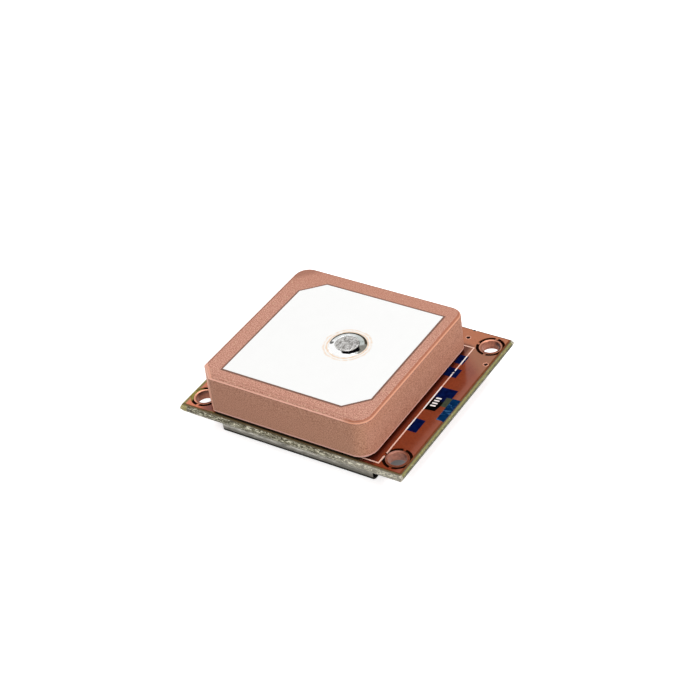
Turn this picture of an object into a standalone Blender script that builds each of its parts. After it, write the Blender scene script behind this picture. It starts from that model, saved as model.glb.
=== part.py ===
"""Satellite-positioning receiver module with a ceramic patch antenna on top.

A small scored-and-snapped circuit board carries a square ceramic patch on its upper side and a
drawn shield can, with the receiver's parts inside, on its underside. Metres, +Z up: the module
stands on the can's flat base at Z = 0, X runs along the board's long edge, and the origin is
under the middle of the four fixing holes.
"""

import math

import bmesh
import bpy

# Smallest gap kept between two pieces that touch: they are soldered, fired or glued face to face.
SEAT_GAP = 0.00001

# Circuit board, measured over the snapped score line, and its fixing holes; the board's middle
# lies BOARD_X from the middle of the holes
BOARD_LENGTH = 0.0233
BOARD_WIDTH = 0.0207
BOARD_THICKNESS = 0.0008
SCORE_DEPTH = 0.0003
SCORE_SLOPE = 0.00015
BOARD_X = -0.0001
HOLE_FROM_END = 0.0015
HOLE_FROM_SIDE = 0.00185
HOLE_RADIUS = 0.00083
PLATING_THICKNESS = 0.00005
PAD_RADIUS = 0.00114

# Copper foil with its solder mask on the upper side
FOIL_THICKNESS = 0.00005
FOIL_MARGIN = 0.00015
RING_WIDTH = 0.00022
SPOKE_WIDTH = 0.00024

# Solder lands for the host's wires, on the underside along the back edge, with their vias;
# the row holds as many as the room between the fixing pads allows
LAND_PITCH = 0.00254
LAND_LENGTH = 0.0017
LAND_WIDTH = 0.0015
LAND_CORNER_RADIUS = 0.00025
LAND_EDGE_DISTANCE = 0.00131
LAND_PAD_GAP = 0.0005
VIA_RADIUS = 0.0002
GROUND_VIA_FROM_END = 0.00042
GROUND_VIA_FROM_HOLE = 0.0025
EDGE_NOTCH_RADIUS = 0.00023

# Ceramic patch and the two silver electrodes fired on it
PATCH_LENGTH = 0.0178
PATCH_WIDTH = 0.018
PATCH_HEIGHT = 0.004
PATCH_X = -0.00065
PATCH_Y = -0.0011
PATCH_CORNER_RADIUS = 0.0015
PATCH_CORNER_CUT = 0.0015
PATCH_TOP_CHAMFER = 0.00028
PATCH_LOWER_CHAMFER = 0.00012
ELECTRODE_LENGTH = 0.0143
ELECTRODE_WIDTH = 0.01455
ELECTRODE_OFFSET_X = 0.00039
ELECTRODE_OFFSET_Y = -0.00018
ELECTRODE_CORNER = 0.00188
ELECTRODE_THICKNESS = 0.00003
GROUND_ELECTRODE_MARGIN = 0.0002
TAPE_THICKNESS = 0.0001
TAPE_MARGIN = 0.00095

# Feed pin through the ceramic and the board
FEED_OFFSET_X = 0.0013
FEED_OFFSET_Y = 0.0002
PIN_HEAD_RADIUS = 0.00108
PIN_HEAD_THICKNESS = 0.00022
PIN_HEAD_EDGE = 0.0001
PIN_CROWN_RADIUS = 0.00054
PIN_RADIUS = 0.00045
PIN_POINT = 0.00015
PIN_CLEARANCE = 0.0001
PIN_TAIL = 0.0004
FEED_KEEPOUT = 0.0007
TOP_SOLDER_WIDTH = 0.00058
TOP_SOLDER_HEIGHT = 0.00015
BOTTOM_SOLDER_WIDTH = 0.0004
BOTTOM_SOLDER_HEIGHT = 0.0003

# Shield can on the underside, set between the fixing pads, the front edge and the lands
CAN_PAD_GAP = 0.00083
CAN_X = 0.00017
CAN_LAND_GAP = 0.00074
CAN_FRONT_SETBACK = 0.00058
CAN_HEIGHT = 0.00155
CAN_SHEET = 0.0002
CAN_CORNER_RADIUS = 0.0003
CAN_BASE_RADIUS = 0.00028
CAN_DRAFT = 0.00010
CAN_OPENING_WIDTH = 0.0016
CAN_OPENING_SILL = 0.00036

# Space kept between the parts under the can, and the step of their rows
PART_CLEARANCE = 0.00025
PASSIVE_PITCH = 0.0013

# Parts under the can: length, width and height of each package
RECEIVER_SIZE = 0.0050
RECEIVER_HEIGHT = 0.00085
RECEIVER_PAD_PITCH = 0.0004
RECEIVER_PADS = 10
FLASH_LENGTH = 0.0030
FLASH_WIDTH = 0.0020
FLASH_HEIGHT = 0.0006
FLASH_PAD_PITCH = 0.0005
AMPLIFIER_LENGTH = 0.0015
AMPLIFIER_WIDTH = 0.0010
AMPLIFIER_HEIGHT = 0.00055
CHIP_PAD_WIDTH = 0.0002
CHIP_PAD_THICKNESS = 0.0002
CHIP_PAD_REACH = 0.00005
CHIP_DRAFT = 0.00004
CHIP_BODY_STEP = 0.0000005
SAW_LENGTH = 0.0014
SAW_WIDTH = 0.0011
SAW_HEIGHT = 0.0005
OSCILLATOR_LENGTH = 0.0025
OSCILLATOR_WIDTH = 0.0020
OSCILLATOR_HEIGHT = 0.0008
CRYSTAL_LENGTH = 0.0032
CRYSTAL_WIDTH = 0.0015
CRYSTAL_HEIGHT = 0.00075
LID_MARGIN = 0.00016
LID_HEIGHT = 0.00012
REGULATOR_LENGTH = 0.0029
REGULATOR_WIDTH = 0.0016
REGULATOR_HEIGHT = 0.0009
REGULATOR_DRAFT = 0.0001
REGULATOR_LEAD_REACH = 0.0006
REGULATOR_LEAD_WIDTH = 0.0004
REGULATOR_LEAD_THICKNESS = 0.00015
REGULATOR_LEAD_HEIGHT = 0.00045
REGULATOR_LEAD_PITCH = 0.00095
REGULATOR_STANDOFF = 0.00008
INDUCTOR_SIZE = 0.0020
INDUCTOR_HEIGHT = 0.0009
INDUCTOR_FOOT_HEIGHT = 0.0002
INDUCTOR_FOOT_CORNER = 0.0002
INDUCTOR_LEDGE = 0.00007
INDUCTOR_CORNER = 0.00036
INDUCTOR_TOP_BEVEL = 0.00006
TANTALUM_LENGTH = 0.0032
TANTALUM_WIDTH = 0.0016
TANTALUM_HEIGHT = 0.0009
TANTALUM_TERMINAL = 0.0005
PASSIVE_LENGTH = 0.0010
PASSIVE_WIDTH = 0.0005
CAPACITOR_HEIGHT = 0.0005
RESISTOR_HEIGHT = 0.00035
PASSIVE_TERMINAL = 0.00025
TERMINAL_STEP = 0.00002

# Facets of the round shapes
HOLE_SEGMENTS = 36
PIN_SEGMENTS = 28
VIA_SEGMENTS = 12
CORNER_STEPS = 6
BASE_STEPS = 4
FILLET_STEPS = 6

# Places that follow from the sizes
BOARD_BOTTOM = CAN_HEIGHT + SEAT_GAP
BOARD_TOP = BOARD_BOTTOM + BOARD_THICKNESS
FOIL_BOTTOM = BOARD_TOP + SEAT_GAP
FOIL_TOP = FOIL_BOTTOM + FOIL_THICKNESS
TAPE_BOTTOM = FOIL_TOP + SEAT_GAP
GROUND_ELECTRODE_BOTTOM = TAPE_BOTTOM + TAPE_THICKNESS + SEAT_GAP
PATCH_BOTTOM = GROUND_ELECTRODE_BOTTOM + ELECTRODE_THICKNESS + SEAT_GAP
PATCH_TOP = PATCH_BOTTOM + PATCH_HEIGHT
ELECTRODE_BOTTOM = PATCH_TOP + SEAT_GAP
ELECTRODE_TOP = ELECTRODE_BOTTOM + ELECTRODE_THICKNESS
FACE_HALF_LENGTH = BOARD_LENGTH / 2 - SCORE_SLOPE
FACE_HALF_WIDTH = BOARD_WIDTH / 2 - SCORE_SLOPE
BOARD_HOLE_RADIUS = HOLE_RADIUS + PLATING_THICKNESS + SEAT_GAP
HOLE_X = BOARD_LENGTH / 2 - HOLE_FROM_END
HOLE_Y = BOARD_WIDTH / 2 - HOLE_FROM_SIDE
RING_OUTER_RADIUS = PAD_RADIUS + RING_WIDTH
ELECTRODE_X = PATCH_X + ELECTRODE_OFFSET_X
ELECTRODE_Y = PATCH_Y + ELECTRODE_OFFSET_Y
FEED_X = ELECTRODE_X + FEED_OFFSET_X
FEED_Y = ELECTRODE_Y + FEED_OFFSET_Y
PIN_BORE_RADIUS = PIN_RADIUS + PIN_CLEARANCE
LAND_Y = FACE_HALF_WIDTH - LAND_EDGE_DISTANCE
CAN_LENGTH = 2 * (HOLE_X - PAD_RADIUS - CAN_PAD_GAP)
CAN_FRONT = -FACE_HALF_WIDTH + CAN_FRONT_SETBACK
CAN_BACK = LAND_Y - LAND_LENGTH / 2 - CAN_LAND_GAP
CAN_WIDTH = CAN_BACK - CAN_FRONT
CAN_Y = (CAN_FRONT + CAN_BACK) / 2
THROUGH = BOARD_THICKNESS


def clear_scene():
    """Remove every object, so that the script starts from an empty scene."""
    for obj in list(bpy.data.objects):
        bpy.data.objects.remove(obj, do_unlink=True)


def finish(name, color, roughness, metallic=0.0):
    """A Principled material in the piece's own colour."""
    material = bpy.data.materials.new(name)
    material.use_nodes = True
    shader = material.node_tree.nodes["Principled BSDF"]
    shader.inputs["Base Color"].default_value = (*color, 1.0)
    shader.inputs["Roughness"].default_value = roughness
    shader.inputs["Metallic"].default_value = metallic
    return material


def add_object(name, bm, material, location=(0, 0, 0), rotation=(0, 0, 0)):
    """Turn a bmesh into a named object with its faces pointing out."""
    bmesh.ops.recalc_face_normals(bm, faces=bm.faces)
    mesh = bpy.data.meshes.new(name)
    bm.to_mesh(mesh)
    bm.free()
    if material is not None:
        mesh.materials.append(material)
    obj = bpy.data.objects.new(name, mesh)
    obj.location = location
    obj.rotation_euler = rotation
    bpy.context.scene.collection.objects.link(obj)
    return obj


def outline(length, width, corners, steps=CORNER_STEPS):
    """Points round a rectangle, anticlockwise; each corner is (kind, size), from +X +Y on."""
    points = []
    signs = ((1, 1), (-1, 1), (-1, -1), (1, -1))
    for quarter, ((sx, sy), (kind, size)) in enumerate(zip(signs, corners)):
        cx = sx * (length / 2 - size)
        cy = sy * (width / 2 - size)
        if kind == "sharp":
            points.append((sx * length / 2, sy * width / 2))
            continue
        count = steps if kind == "round" else 1
        for i in range(count + 1):
            angle = math.pi / 2 * (quarter + i / count)
            points.append((cx + size * math.cos(angle), cy + size * math.sin(angle)))
    return points


def at_height(points, z):
    """The same outline at one height."""
    return [(x, y, z) for x, y in points]


def skin(bm, loops):
    """Close a solid through a stack of loops that all have as many points."""
    rings = [[bm.verts.new(point) for point in loop] for loop in loops]
    for lower, upper in zip(rings, rings[1:]):
        for i in range(len(lower)):
            j = (i + 1) % len(lower)
            bm.faces.new((lower[i], lower[j], upper[j], upper[i]))
    bm.faces.new(rings[0][::-1])
    bm.faces.new(rings[-1])
    return bm


def stacked(loops):
    return skin(bmesh.new(), loops)


def prism(bm, points, low, high, center=(0, 0)):
    """Add a straight prism of an outline between two heights."""
    moved = [(x + center[0], y + center[1]) for x, y in points]
    return skin(bm, [at_height(moved, low), at_height(moved, high)])


def circle(radius, segments):
    """Points round a circle of facets."""
    step = 2 * math.pi / segments
    return [(radius * math.cos(i * step), radius * math.sin(i * step)) for i in range(segments)]


def turned(profile, segments, ring=False):
    """Turn (radius, height) points about Z; a ring's profile is closed and stays off the axis."""
    bm = bmesh.new()
    rings = []
    for radius, height in profile:
        if radius == 0:
            rings.append([bm.verts.new((0, 0, height))])
        else:
            rings.append([bm.verts.new((x, y, height)) for x, y in circle(radius, segments)])
    pairs = list(zip(rings, rings[1:]))
    if ring:
        pairs.append((rings[-1], rings[0]))
    for first, second in pairs:
        for i in range(segments):
            j = (i + 1) % segments
            corners = [first[i % len(first)], first[j % len(first)]]
            corners += [second[j % len(second)], second[i % len(second)]]
            bm.faces.new(list(dict.fromkeys(corners)))
    return bm


def cut(obj, bm, name):
    """Cut a solid by the shapes in a bmesh, which stay as a hidden cutter."""
    cutter = add_object(name, bm, None)
    cutter.hide_render = True
    cutter.hide_set(True)
    cutter.display_type = "WIRE"
    modifier = obj.modifiers.new(name, "BOOLEAN")
    modifier.operation = "DIFFERENCE"
    modifier.solver = "EXACT"
    modifier.object = cutter


def shade_round(obj):
    """Smooth the facets of a round piece and keep its sharp edges."""
    obj.data.shade_smooth()
    obj.data.set_sharp_from_angle(angle=math.radians(35))


def fixing_holes():
    """Centre of each fixing hole and the side of the board that it lies on."""
    places = []
    for sx in (-1, 1):
        for sy in (-1, 1):
            places.append((sx, sy, sx * HOLE_X, sy * HOLE_Y))
    return places


def land_places():
    """The row of lands: one in the middle and as many each side as clear the fixing pads."""
    room = HOLE_X - PAD_RADIUS - LAND_PAD_GAP - LAND_WIDTH / 2
    each_side = int(room / LAND_PITCH)
    return [i * LAND_PITCH for i in range(-each_side, each_side + 1)]


def via_places():
    """A via in each land's middle and one ground via by the right-hand edge."""
    places = [(x, LAND_Y) for x in land_places()]
    end = BOARD_X + FACE_HALF_LENGTH
    places.append((end - GROUND_VIA_FROM_END, HOLE_Y - GROUND_VIA_FROM_HOLE))
    return places


def drill_small_holes(bm, low, high, feed_radius):
    """Vias, the half hole in the back edge and the feed pin's hole, shared by board and foil."""
    for place in via_places():
        prism(bm, circle(VIA_RADIUS, VIA_SEGMENTS), low, high, place)
    notch = (land_places()[-1], FACE_HALF_WIDTH)
    prism(bm, circle(EDGE_NOTCH_RADIUS, VIA_SEGMENTS), low, high, notch)
    prism(bm, circle(feed_radius, PIN_SEGMENTS), low, high, (FEED_X, FEED_Y))


def board_outline(inset):
    """The board's rectangle over its snapped edges, brought in by an inset."""
    shape = outline(BOARD_LENGTH - 2 * inset, BOARD_WIDTH - 2 * inset, [("sharp", 0)] * 4)
    return [(x + BOARD_X, y) for x, y in shape]


def circuit_board():
    """Laminate with V-scored, snapped edges, drilled for its fixings, vias and feed pin."""
    face = board_outline(SCORE_SLOPE)
    snapped = board_outline(0)
    loops = [
        at_height(face, BOARD_BOTTOM),
        at_height(snapped, BOARD_BOTTOM + SCORE_DEPTH),
        at_height(snapped, BOARD_TOP - SCORE_DEPTH),
        at_height(face, BOARD_TOP),
    ]
    board = add_object("circuit_board", stacked(loops), finish("laminate", (0.42, 0.42, 0.24), 0.6))
    low = BOARD_BOTTOM - THROUGH
    high = BOARD_TOP + THROUGH
    drills = bmesh.new()
    for _, _, x, y in fixing_holes():
        prism(drills, circle(BOARD_HOLE_RADIUS, HOLE_SEGMENTS), low, high, (x, y))
    drill_small_holes(drills, low, high, PIN_BORE_RADIUS)
    cut(board, drills, "board_drills")
    return board


def ring_outline(outward):
    """Isolation ring's outer circle, with three spokes that reach in to the pad.

    Outward is +1 or -1: the side where the ring opens over the board's bare edge and has no
    spoke.
    """
    tip = PAD_RADIUS + SEAT_GAP
    half_spoke = math.asin(SPOKE_WIDTH / 2 / RING_OUTER_RADIUS)
    half_tip = math.asin(SPOKE_WIDTH / 2 / tip)
    skipped = 0 if outward > 0 else 2
    points = []
    arc_steps = HOLE_SEGMENTS // 4
    for quarter in range(4):
        start = quarter * math.pi / 2
        if quarter == skipped:
            points.append((RING_OUTER_RADIUS, start))
        else:
            points.append((RING_OUTER_RADIUS, start - half_spoke))
            points.append((tip, start - half_tip))
            points.append((tip, start + half_tip))
            points.append((RING_OUTER_RADIUS, start + half_spoke))
        for i in range(1, arc_steps):
            points.append((RING_OUTER_RADIUS, start + i * math.pi / 2 / arc_steps))
    return [(r * math.cos(a), r * math.sin(a)) for r, a in points]


def ground_foil():
    """Copper plane with solder mask, which stops short of the edges and round the fixing pads."""
    plane = board_outline(SCORE_SLOPE + FOIL_MARGIN)
    bm = stacked([at_height(plane, FOIL_BOTTOM), at_height(plane, FOIL_TOP)])
    foil = add_object("ground_foil", bm, finish("masked_copper", (0.56, 0.24, 0.10), 0.3))
    low = FOIL_BOTTOM - THROUGH
    high = FOIL_TOP + THROUGH
    openings = bmesh.new()
    for outward, _, x, y in fixing_holes():
        prism(openings, ring_outline(outward), low, high, (x, y))
    drill_small_holes(openings, low, high, PIN_RADIUS + FEED_KEEPOUT)
    cut(foil, openings, "foil_openings")
    return foil


def hole_platings():
    """Plated hole: a copper barrel with an annular pad on each face of the board."""
    low = BOARD_BOTTOM - SEAT_GAP
    high = BOARD_TOP + SEAT_GAP
    barrel = HOLE_RADIUS + PLATING_THICKNESS
    profile = [
        (HOLE_RADIUS, low - FOIL_THICKNESS),
        (PAD_RADIUS, low - FOIL_THICKNESS),
        (PAD_RADIUS, low),
        (barrel, low),
        (barrel, high),
        (PAD_RADIUS, high),
        (PAD_RADIUS, high + FOIL_THICKNESS),
        (HOLE_RADIUS, high + FOIL_THICKNESS),
    ]
    copper = finish("bare_copper", (0.75, 0.38, 0.22), 0.35, 1.0)
    names = {(-1, -1): "left", (1, -1): "front", (1, 1): "right", (-1, 1): "back"}
    for sx, sy, x, y in fixing_holes():
        bm = turned(profile, HOLE_SEGMENTS, ring=True)
        plating = add_object(f"plated_hole_{names[sx, sy]}", bm, copper, (x, y, 0))
        shade_round(plating)


def solder_lands():
    """Tinned lands on the underside, where the host's wires or pads are soldered."""
    tin = finish("tinned_copper", (0.75, 0.74, 0.70), 0.3, 1.0)
    top = BOARD_BOTTOM - SEAT_GAP
    corners = [("round", LAND_CORNER_RADIUS)] * 4
    for i, x in enumerate(land_places()):
        land = outline(LAND_WIDTH, LAND_LENGTH, corners, BASE_STEPS)
        bm = stacked([at_height(land, top - FOIL_THICKNESS), at_height(land, top)])
        piece = add_object(f"solder_land_{i + 1}", bm, tin, (x, LAND_Y, 0))
        hole = bmesh.new()
        low = BOARD_BOTTOM - THROUGH
        prism(hole, circle(VIA_RADIUS, VIA_SEGMENTS), low, BOARD_TOP, (x, LAND_Y))
        cut(piece, hole, f"land_via_{i + 1}")


def patch_outline(inset):
    """The block's plan, with three round corners and one cut corner, brought in by an inset."""
    cut_leg = PATCH_CORNER_CUT - inset * (2 - math.sqrt(2))
    corners = [("round", PATCH_CORNER_RADIUS - inset)] * 4
    corners[2] = ("cut", cut_leg)
    shape = outline(PATCH_LENGTH - 2 * inset, PATCH_WIDTH - 2 * inset, corners)
    return [(x + PATCH_X, y + PATCH_Y) for x, y in shape]


def bore(obj, radius, name):
    """The feed pin's hole through one layer of the antenna."""
    bm = bmesh.new()
    prism(bm, circle(radius, PIN_SEGMENTS), 0, PATCH_TOP + PATCH_HEIGHT, (FEED_X, FEED_Y))
    cut(obj, bm, name)


def ceramic_patch():
    """Pressed and fired dielectric block with broken edges."""
    loops = [
        at_height(patch_outline(PATCH_LOWER_CHAMFER), PATCH_BOTTOM),
        at_height(patch_outline(0), PATCH_BOTTOM + PATCH_LOWER_CHAMFER),
        at_height(patch_outline(0), PATCH_TOP - PATCH_TOP_CHAMFER),
        at_height(patch_outline(PATCH_TOP_CHAMFER), PATCH_TOP),
    ]
    patch = add_object("ceramic_patch", stacked(loops), finish("ceramic", (0.60, 0.30, 0.21), 0.7))
    bore(patch, PIN_BORE_RADIUS, "patch_bore")
    shade_round(patch)


def patch_electrode():
    """Fired silver square with two cut corners, which make the antenna's circular polarity."""
    corners = [("sharp", 0), ("cut", ELECTRODE_CORNER)] * 2
    shape = outline(ELECTRODE_LENGTH, ELECTRODE_WIDTH, corners)
    shape = [(x + ELECTRODE_X, y + ELECTRODE_Y) for x, y in shape]
    bm = stacked([at_height(shape, ELECTRODE_BOTTOM), at_height(shape, ELECTRODE_TOP)])
    electrode = add_object("patch_electrode", bm, finish("fired_silver", (0.93, 0.93, 0.92), 0.35))
    bore(electrode, PIN_BORE_RADIUS, "electrode_bore")


def ground_electrode():
    """Fired silver on the ceramic's lower face, kept clear of the feed pin."""
    shape = patch_outline(GROUND_ELECTRODE_MARGIN)
    low = GROUND_ELECTRODE_BOTTOM
    bm = stacked([at_height(shape, low), at_height(shape, low + ELECTRODE_THICKNESS)])
    electrode = add_object("ground_electrode", bm, finish("lower_silver", (0.85, 0.85, 0.83), 0.4))
    bore(electrode, PIN_RADIUS + FEED_KEEPOUT, "ground_electrode_bore")


def antenna_tape():
    """Double-sided tape that holds the ceramic to the board, set in from its edge."""
    shape = patch_outline(TAPE_MARGIN)
    bm = stacked([at_height(shape, TAPE_BOTTOM), at_height(shape, TAPE_BOTTOM + TAPE_THICKNESS)])
    tape = add_object("antenna_tape", bm, finish("tape", (0.10, 0.08, 0.07), 0.8))
    bore(tape, PIN_RADIUS + FEED_KEEPOUT, "tape_bore")


def feed_pin():
    """Headed pin: its low domed head lies on the electrode and its tail stands below the board."""
    seat = ELECTRODE_TOP + SEAT_GAP
    tail = BOARD_BOTTOM - PIN_TAIL
    profile = [
        (0, tail),
        (PIN_RADIUS - PIN_POINT, tail),
        (PIN_RADIUS, tail + PIN_POINT),
        (PIN_RADIUS, seat),
        (PIN_HEAD_RADIUS, seat),
    ]
    fall = PIN_HEAD_THICKNESS - PIN_HEAD_EDGE
    for i in range(BASE_STEPS + 1):
        angle = math.pi / 2 * i / BASE_STEPS
        radius = PIN_CROWN_RADIUS + (PIN_HEAD_RADIUS - PIN_CROWN_RADIUS) * math.cos(angle)
        profile.append((radius, seat + PIN_HEAD_EDGE + fall * math.sin(angle)))
    profile.append((0, seat + PIN_HEAD_THICKNESS))
    bm = turned(profile, PIN_SEGMENTS)
    pin = add_object("feed_pin", bm, finish("tinned_pin", (0.55, 0.56, 0.58), 0.35, 1.0),
                     (FEED_X, FEED_Y, 0))
    shade_round(pin)


def fillet_profile(inner, base, width, rise):
    """Section of a solder fillet round a pin, hollow like a quarter ellipse; it may hang down."""
    profile = [(inner, base)]
    for i in range(FILLET_STEPS + 1):
        angle = math.pi / 2 * i / FILLET_STEPS
        radius = inner + width * (1 - math.cos(angle))
        profile.append((radius, base + rise * (1 - math.sin(angle))))
    return profile


def feed_solder_top():
    """Solder fillet round the pin's head, hollow where it runs out on the electrode."""
    base = ELECTRODE_TOP + SEAT_GAP
    profile = fillet_profile(PIN_HEAD_RADIUS + SEAT_GAP, base, TOP_SOLDER_WIDTH, TOP_SOLDER_HEIGHT)
    bm = turned(profile, PIN_SEGMENTS, ring=True)
    solder = add_object("feed_solder_top", bm, finish("bright_solder", (0.86, 0.87, 0.90), 0.2, 1.0),
                        (FEED_X, FEED_Y, 0))
    shade_round(solder)


def feed_solder_bottom():
    """Solder cone round the pin's tail on the underside."""
    base = BOARD_BOTTOM - SEAT_GAP
    inner = PIN_RADIUS + SEAT_GAP
    profile = fillet_profile(inner, base, BOTTOM_SOLDER_WIDTH, -BOTTOM_SOLDER_HEIGHT)
    bm = turned(profile, PIN_SEGMENTS, ring=True)
    solder = add_object("feed_solder_bottom", bm, finish("solder", (0.70, 0.71, 0.73), 0.3, 1.0),
                        (FEED_X, FEED_Y, 0))
    shade_round(solder)


def can_outline(inset):
    """The can's plan, brought in by an inset."""
    radius = max(CAN_CORNER_RADIUS - inset, CAN_SHEET / 2)
    shape = outline(CAN_LENGTH - 2 * inset, CAN_WIDTH - 2 * inset, [("round", radius)] * 4)
    return [(x + CAN_X, y + CAN_Y) for x, y in shape]


def can_shell(inset, base, base_radius):
    """Loops of one side of the sheet from its rim down to its flat base."""
    loops = [at_height(can_outline(inset), CAN_HEIGHT)]
    for i in range(BASE_STEPS + 1):
        angle = math.pi / 2 * i / BASE_STEPS
        pull = inset + CAN_DRAFT + base_radius * (1 - math.cos(angle))
        loops.append(at_height(can_outline(pull), base + base_radius * (1 - math.sin(angle))))
    return loops


def shield_can():
    """Drawn steel can with rounded edges and, at its rim, openings for the tracks."""
    outer = can_shell(0, 0, CAN_BASE_RADIUS)
    inner = can_shell(CAN_SHEET, CAN_SHEET, CAN_BASE_RADIUS - CAN_SHEET)
    can = add_object("shield_can", stacked(inner[::-1] + outer),
                     finish("tinned_steel", (0.58, 0.58, 0.56), 0.35, 1.0))
    openings = bmesh.new()
    half = CAN_OPENING_WIDTH / 2
    top = CAN_HEIGHT + CAN_SHEET
    corner = CAN_CORNER_RADIUS + half
    deep = CAN_SHEET + CAN_DRAFT + CAN_BASE_RADIUS
    side = outline(2 * deep, CAN_OPENING_WIDTH, [("sharp", 0)] * 4)
    end = outline(CAN_OPENING_WIDTH, 2 * deep, [("sharp", 0)] * 4)
    prism(openings, side, CAN_OPENING_SILL, top, (CAN_X + CAN_LENGTH / 2, CAN_FRONT + corner))
    for x in (land_places()[1], land_places()[-2]):
        prism(openings, end, CAN_OPENING_SILL, top, (x, CAN_BACK))
    cut(can, openings, "can_openings")
    shade_round(can)


def on_underside(x, y, turn=0.0):
    """Location and rotation of a part that hangs from the board, built with its seat at Z = 0."""
    return (x, y, BOARD_BOTTOM - SEAT_GAP), (math.pi, 0, turn)


def padded_outline(length, width, pads_x, pads_y, pitch, reach):
    """Package outline whose terminals stand out by a reach, along the X sides and the Y sides."""
    points = []
    half = CHIP_PAD_WIDTH / 2
    sides = (
        (width / 2, length / 2, pads_y, (1, 0)),
        (length / 2, width / 2, pads_x, (0, 1)),
        (width / 2, length / 2, pads_y, (-1, 0)),
        (length / 2, width / 2, pads_x, (0, -1)),
    )
    for run, out, count, (nx, ny) in sides:
        tx, ty = -ny, nx
        points.append((nx * out - tx * run, ny * out - ty * run))
        for i in range(count):
            middle = (i - (count - 1) / 2) * pitch
            for along, stand in ((-half, 0), (-half, reach), (half, reach), (half, 0)):
                along += middle
                points.append((nx * (out + stand) + tx * along, ny * (out + stand) + ty * along))
    return points


def leadless_chip(name, size, pads, pitch, material, place):
    """Moulded leadless package: terminals round its foot and a faint draft up to its top."""
    length, width, height = size

    def ring(shrink, reach, z):
        shape = padded_outline(length - shrink, width - shrink, *pads, pitch, reach)
        return at_height(shape, z)

    loops = [
        ring(0, CHIP_PAD_REACH, 0),
        ring(0, CHIP_PAD_REACH, CHIP_PAD_THICKNESS),
        ring(0, CHIP_BODY_STEP, CHIP_PAD_THICKNESS),
        ring(CHIP_DRAFT, CHIP_BODY_STEP, height),
    ]
    return add_object(name, stacked(loops), material, *place)


def lidded_package(name, size, material, place):
    """Ceramic package with a welded metal lid, as on oscillators, crystals and filters."""
    length, width, height = size
    base = [("round", LID_MARGIN / 2)] * 4
    foot = outline(length, width, base, BASE_STEPS)
    lid = outline(length - 2 * LID_MARGIN, width - 2 * LID_MARGIN,
                  [("round", LID_MARGIN)] * 4, BASE_STEPS)
    loops = [
        at_height(foot, 0),
        at_height(foot, height - LID_HEIGHT),
        at_height(lid, height - LID_HEIGHT),
        at_height(lid, height),
    ]
    return add_object(name, stacked(loops), material, *place)


def end_capped(name, size, terminal, material, place):
    """Chip part: a block whose two metal end caps stand a little proud of it."""
    length, width, height = size
    step = TERMINAL_STEP

    def section(x, inset):
        half = width / 2 - inset
        return [(x, -half, inset), (x, half, inset), (x, half, height - inset),
                (x, -half, height - inset)]

    loops = []
    for sx in (-1, 1):
        ends = [
            section(sx * length / 2, step),
            section(sx * (length / 2 - step), 0),
            section(sx * (length / 2 - terminal), 0),
            section(sx * (length / 2 - terminal), step),
        ]
        loops += ends if sx < 0 else ends[::-1]
    return add_object(name, stacked(loops), material, *place)


def voltage_regulator(material, place):
    """Five-lead package: a moulded body on formed leads, three on one side and two on the other."""
    draft = REGULATOR_DRAFT
    middle = REGULATOR_LEAD_HEIGHT
    wide = outline(REGULATOR_LENGTH, REGULATOR_WIDTH, [("sharp", 0)] * 4)
    slim = outline(REGULATOR_LENGTH - 2 * draft, REGULATOR_WIDTH - 2 * draft, [("sharp", 0)] * 4)
    loops = [
        at_height(slim, REGULATOR_STANDOFF),
        at_height(wide, middle),
        at_height(slim, REGULATOR_HEIGHT),
    ]
    body = add_object("voltage_regulator", stacked(loops), material, *place)
    thick = REGULATOR_LEAD_THICKNESS
    run = REGULATOR_LEAD_REACH / 2
    inside = REGULATOR_WIDTH / 2 - draft - thick
    root = REGULATOR_WIDTH / 2 + thick
    reach = REGULATOR_WIDTH / 2 + REGULATOR_LEAD_REACH
    path = [
        (inside, middle + thick / 2), (root, middle + thick / 2),
        (root + run, thick), (reach, thick), (reach, 0), (root + run - thick, 0),
        (root - thick / 2, middle - thick / 2), (inside, middle - thick / 2),
    ]
    for side, columns in ((-1, (-1, 0, 1)), (1, (-1, 1))):
        for column in columns:
            center = column * REGULATOR_LEAD_PITCH
            edges = (center - REGULATOR_LEAD_WIDTH / 2, center + REGULATOR_LEAD_WIDTH / 2)
            lead = stacked([[(x, side * y, z) for y, z in path] for x in edges])
            name = f"regulator_lead_{'lower' if side < 0 else 'upper'}_{column + 2}"
            tool = add_object(name, lead, None, *place)
            tool.hide_render = True
            tool.hide_set(True)
            tool.display_type = "WIRE"
            modifier = body.modifiers.new(name, "BOOLEAN")
            modifier.operation = "UNION"
            modifier.solver = "EXACT"
            modifier.object = tool
    return body


def power_inductor(material, place):
    """Shielded choke: a square ferrite block with cut corners and a stepped foot."""
    crown_size = INDUCTOR_SIZE - 2 * INDUCTOR_LEDGE
    top_size = crown_size - 2 * INDUCTOR_TOP_BEVEL
    foot = outline(INDUCTOR_SIZE, INDUCTOR_SIZE, [("cut", INDUCTOR_FOOT_CORNER)] * 4)
    crown = outline(crown_size, crown_size, [("cut", INDUCTOR_CORNER)] * 4)
    loops = [
        at_height(foot, 0),
        at_height(foot, INDUCTOR_FOOT_HEIGHT),
        at_height(crown, INDUCTOR_FOOT_HEIGHT),
        at_height(crown, INDUCTOR_HEIGHT - INDUCTOR_TOP_BEVEL),
        at_height(outline(top_size, top_size, [("cut", INDUCTOR_CORNER)] * 4), INDUCTOR_HEIGHT),
    ]
    return add_object("power_inductor", stacked(loops), material, *place)


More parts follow.
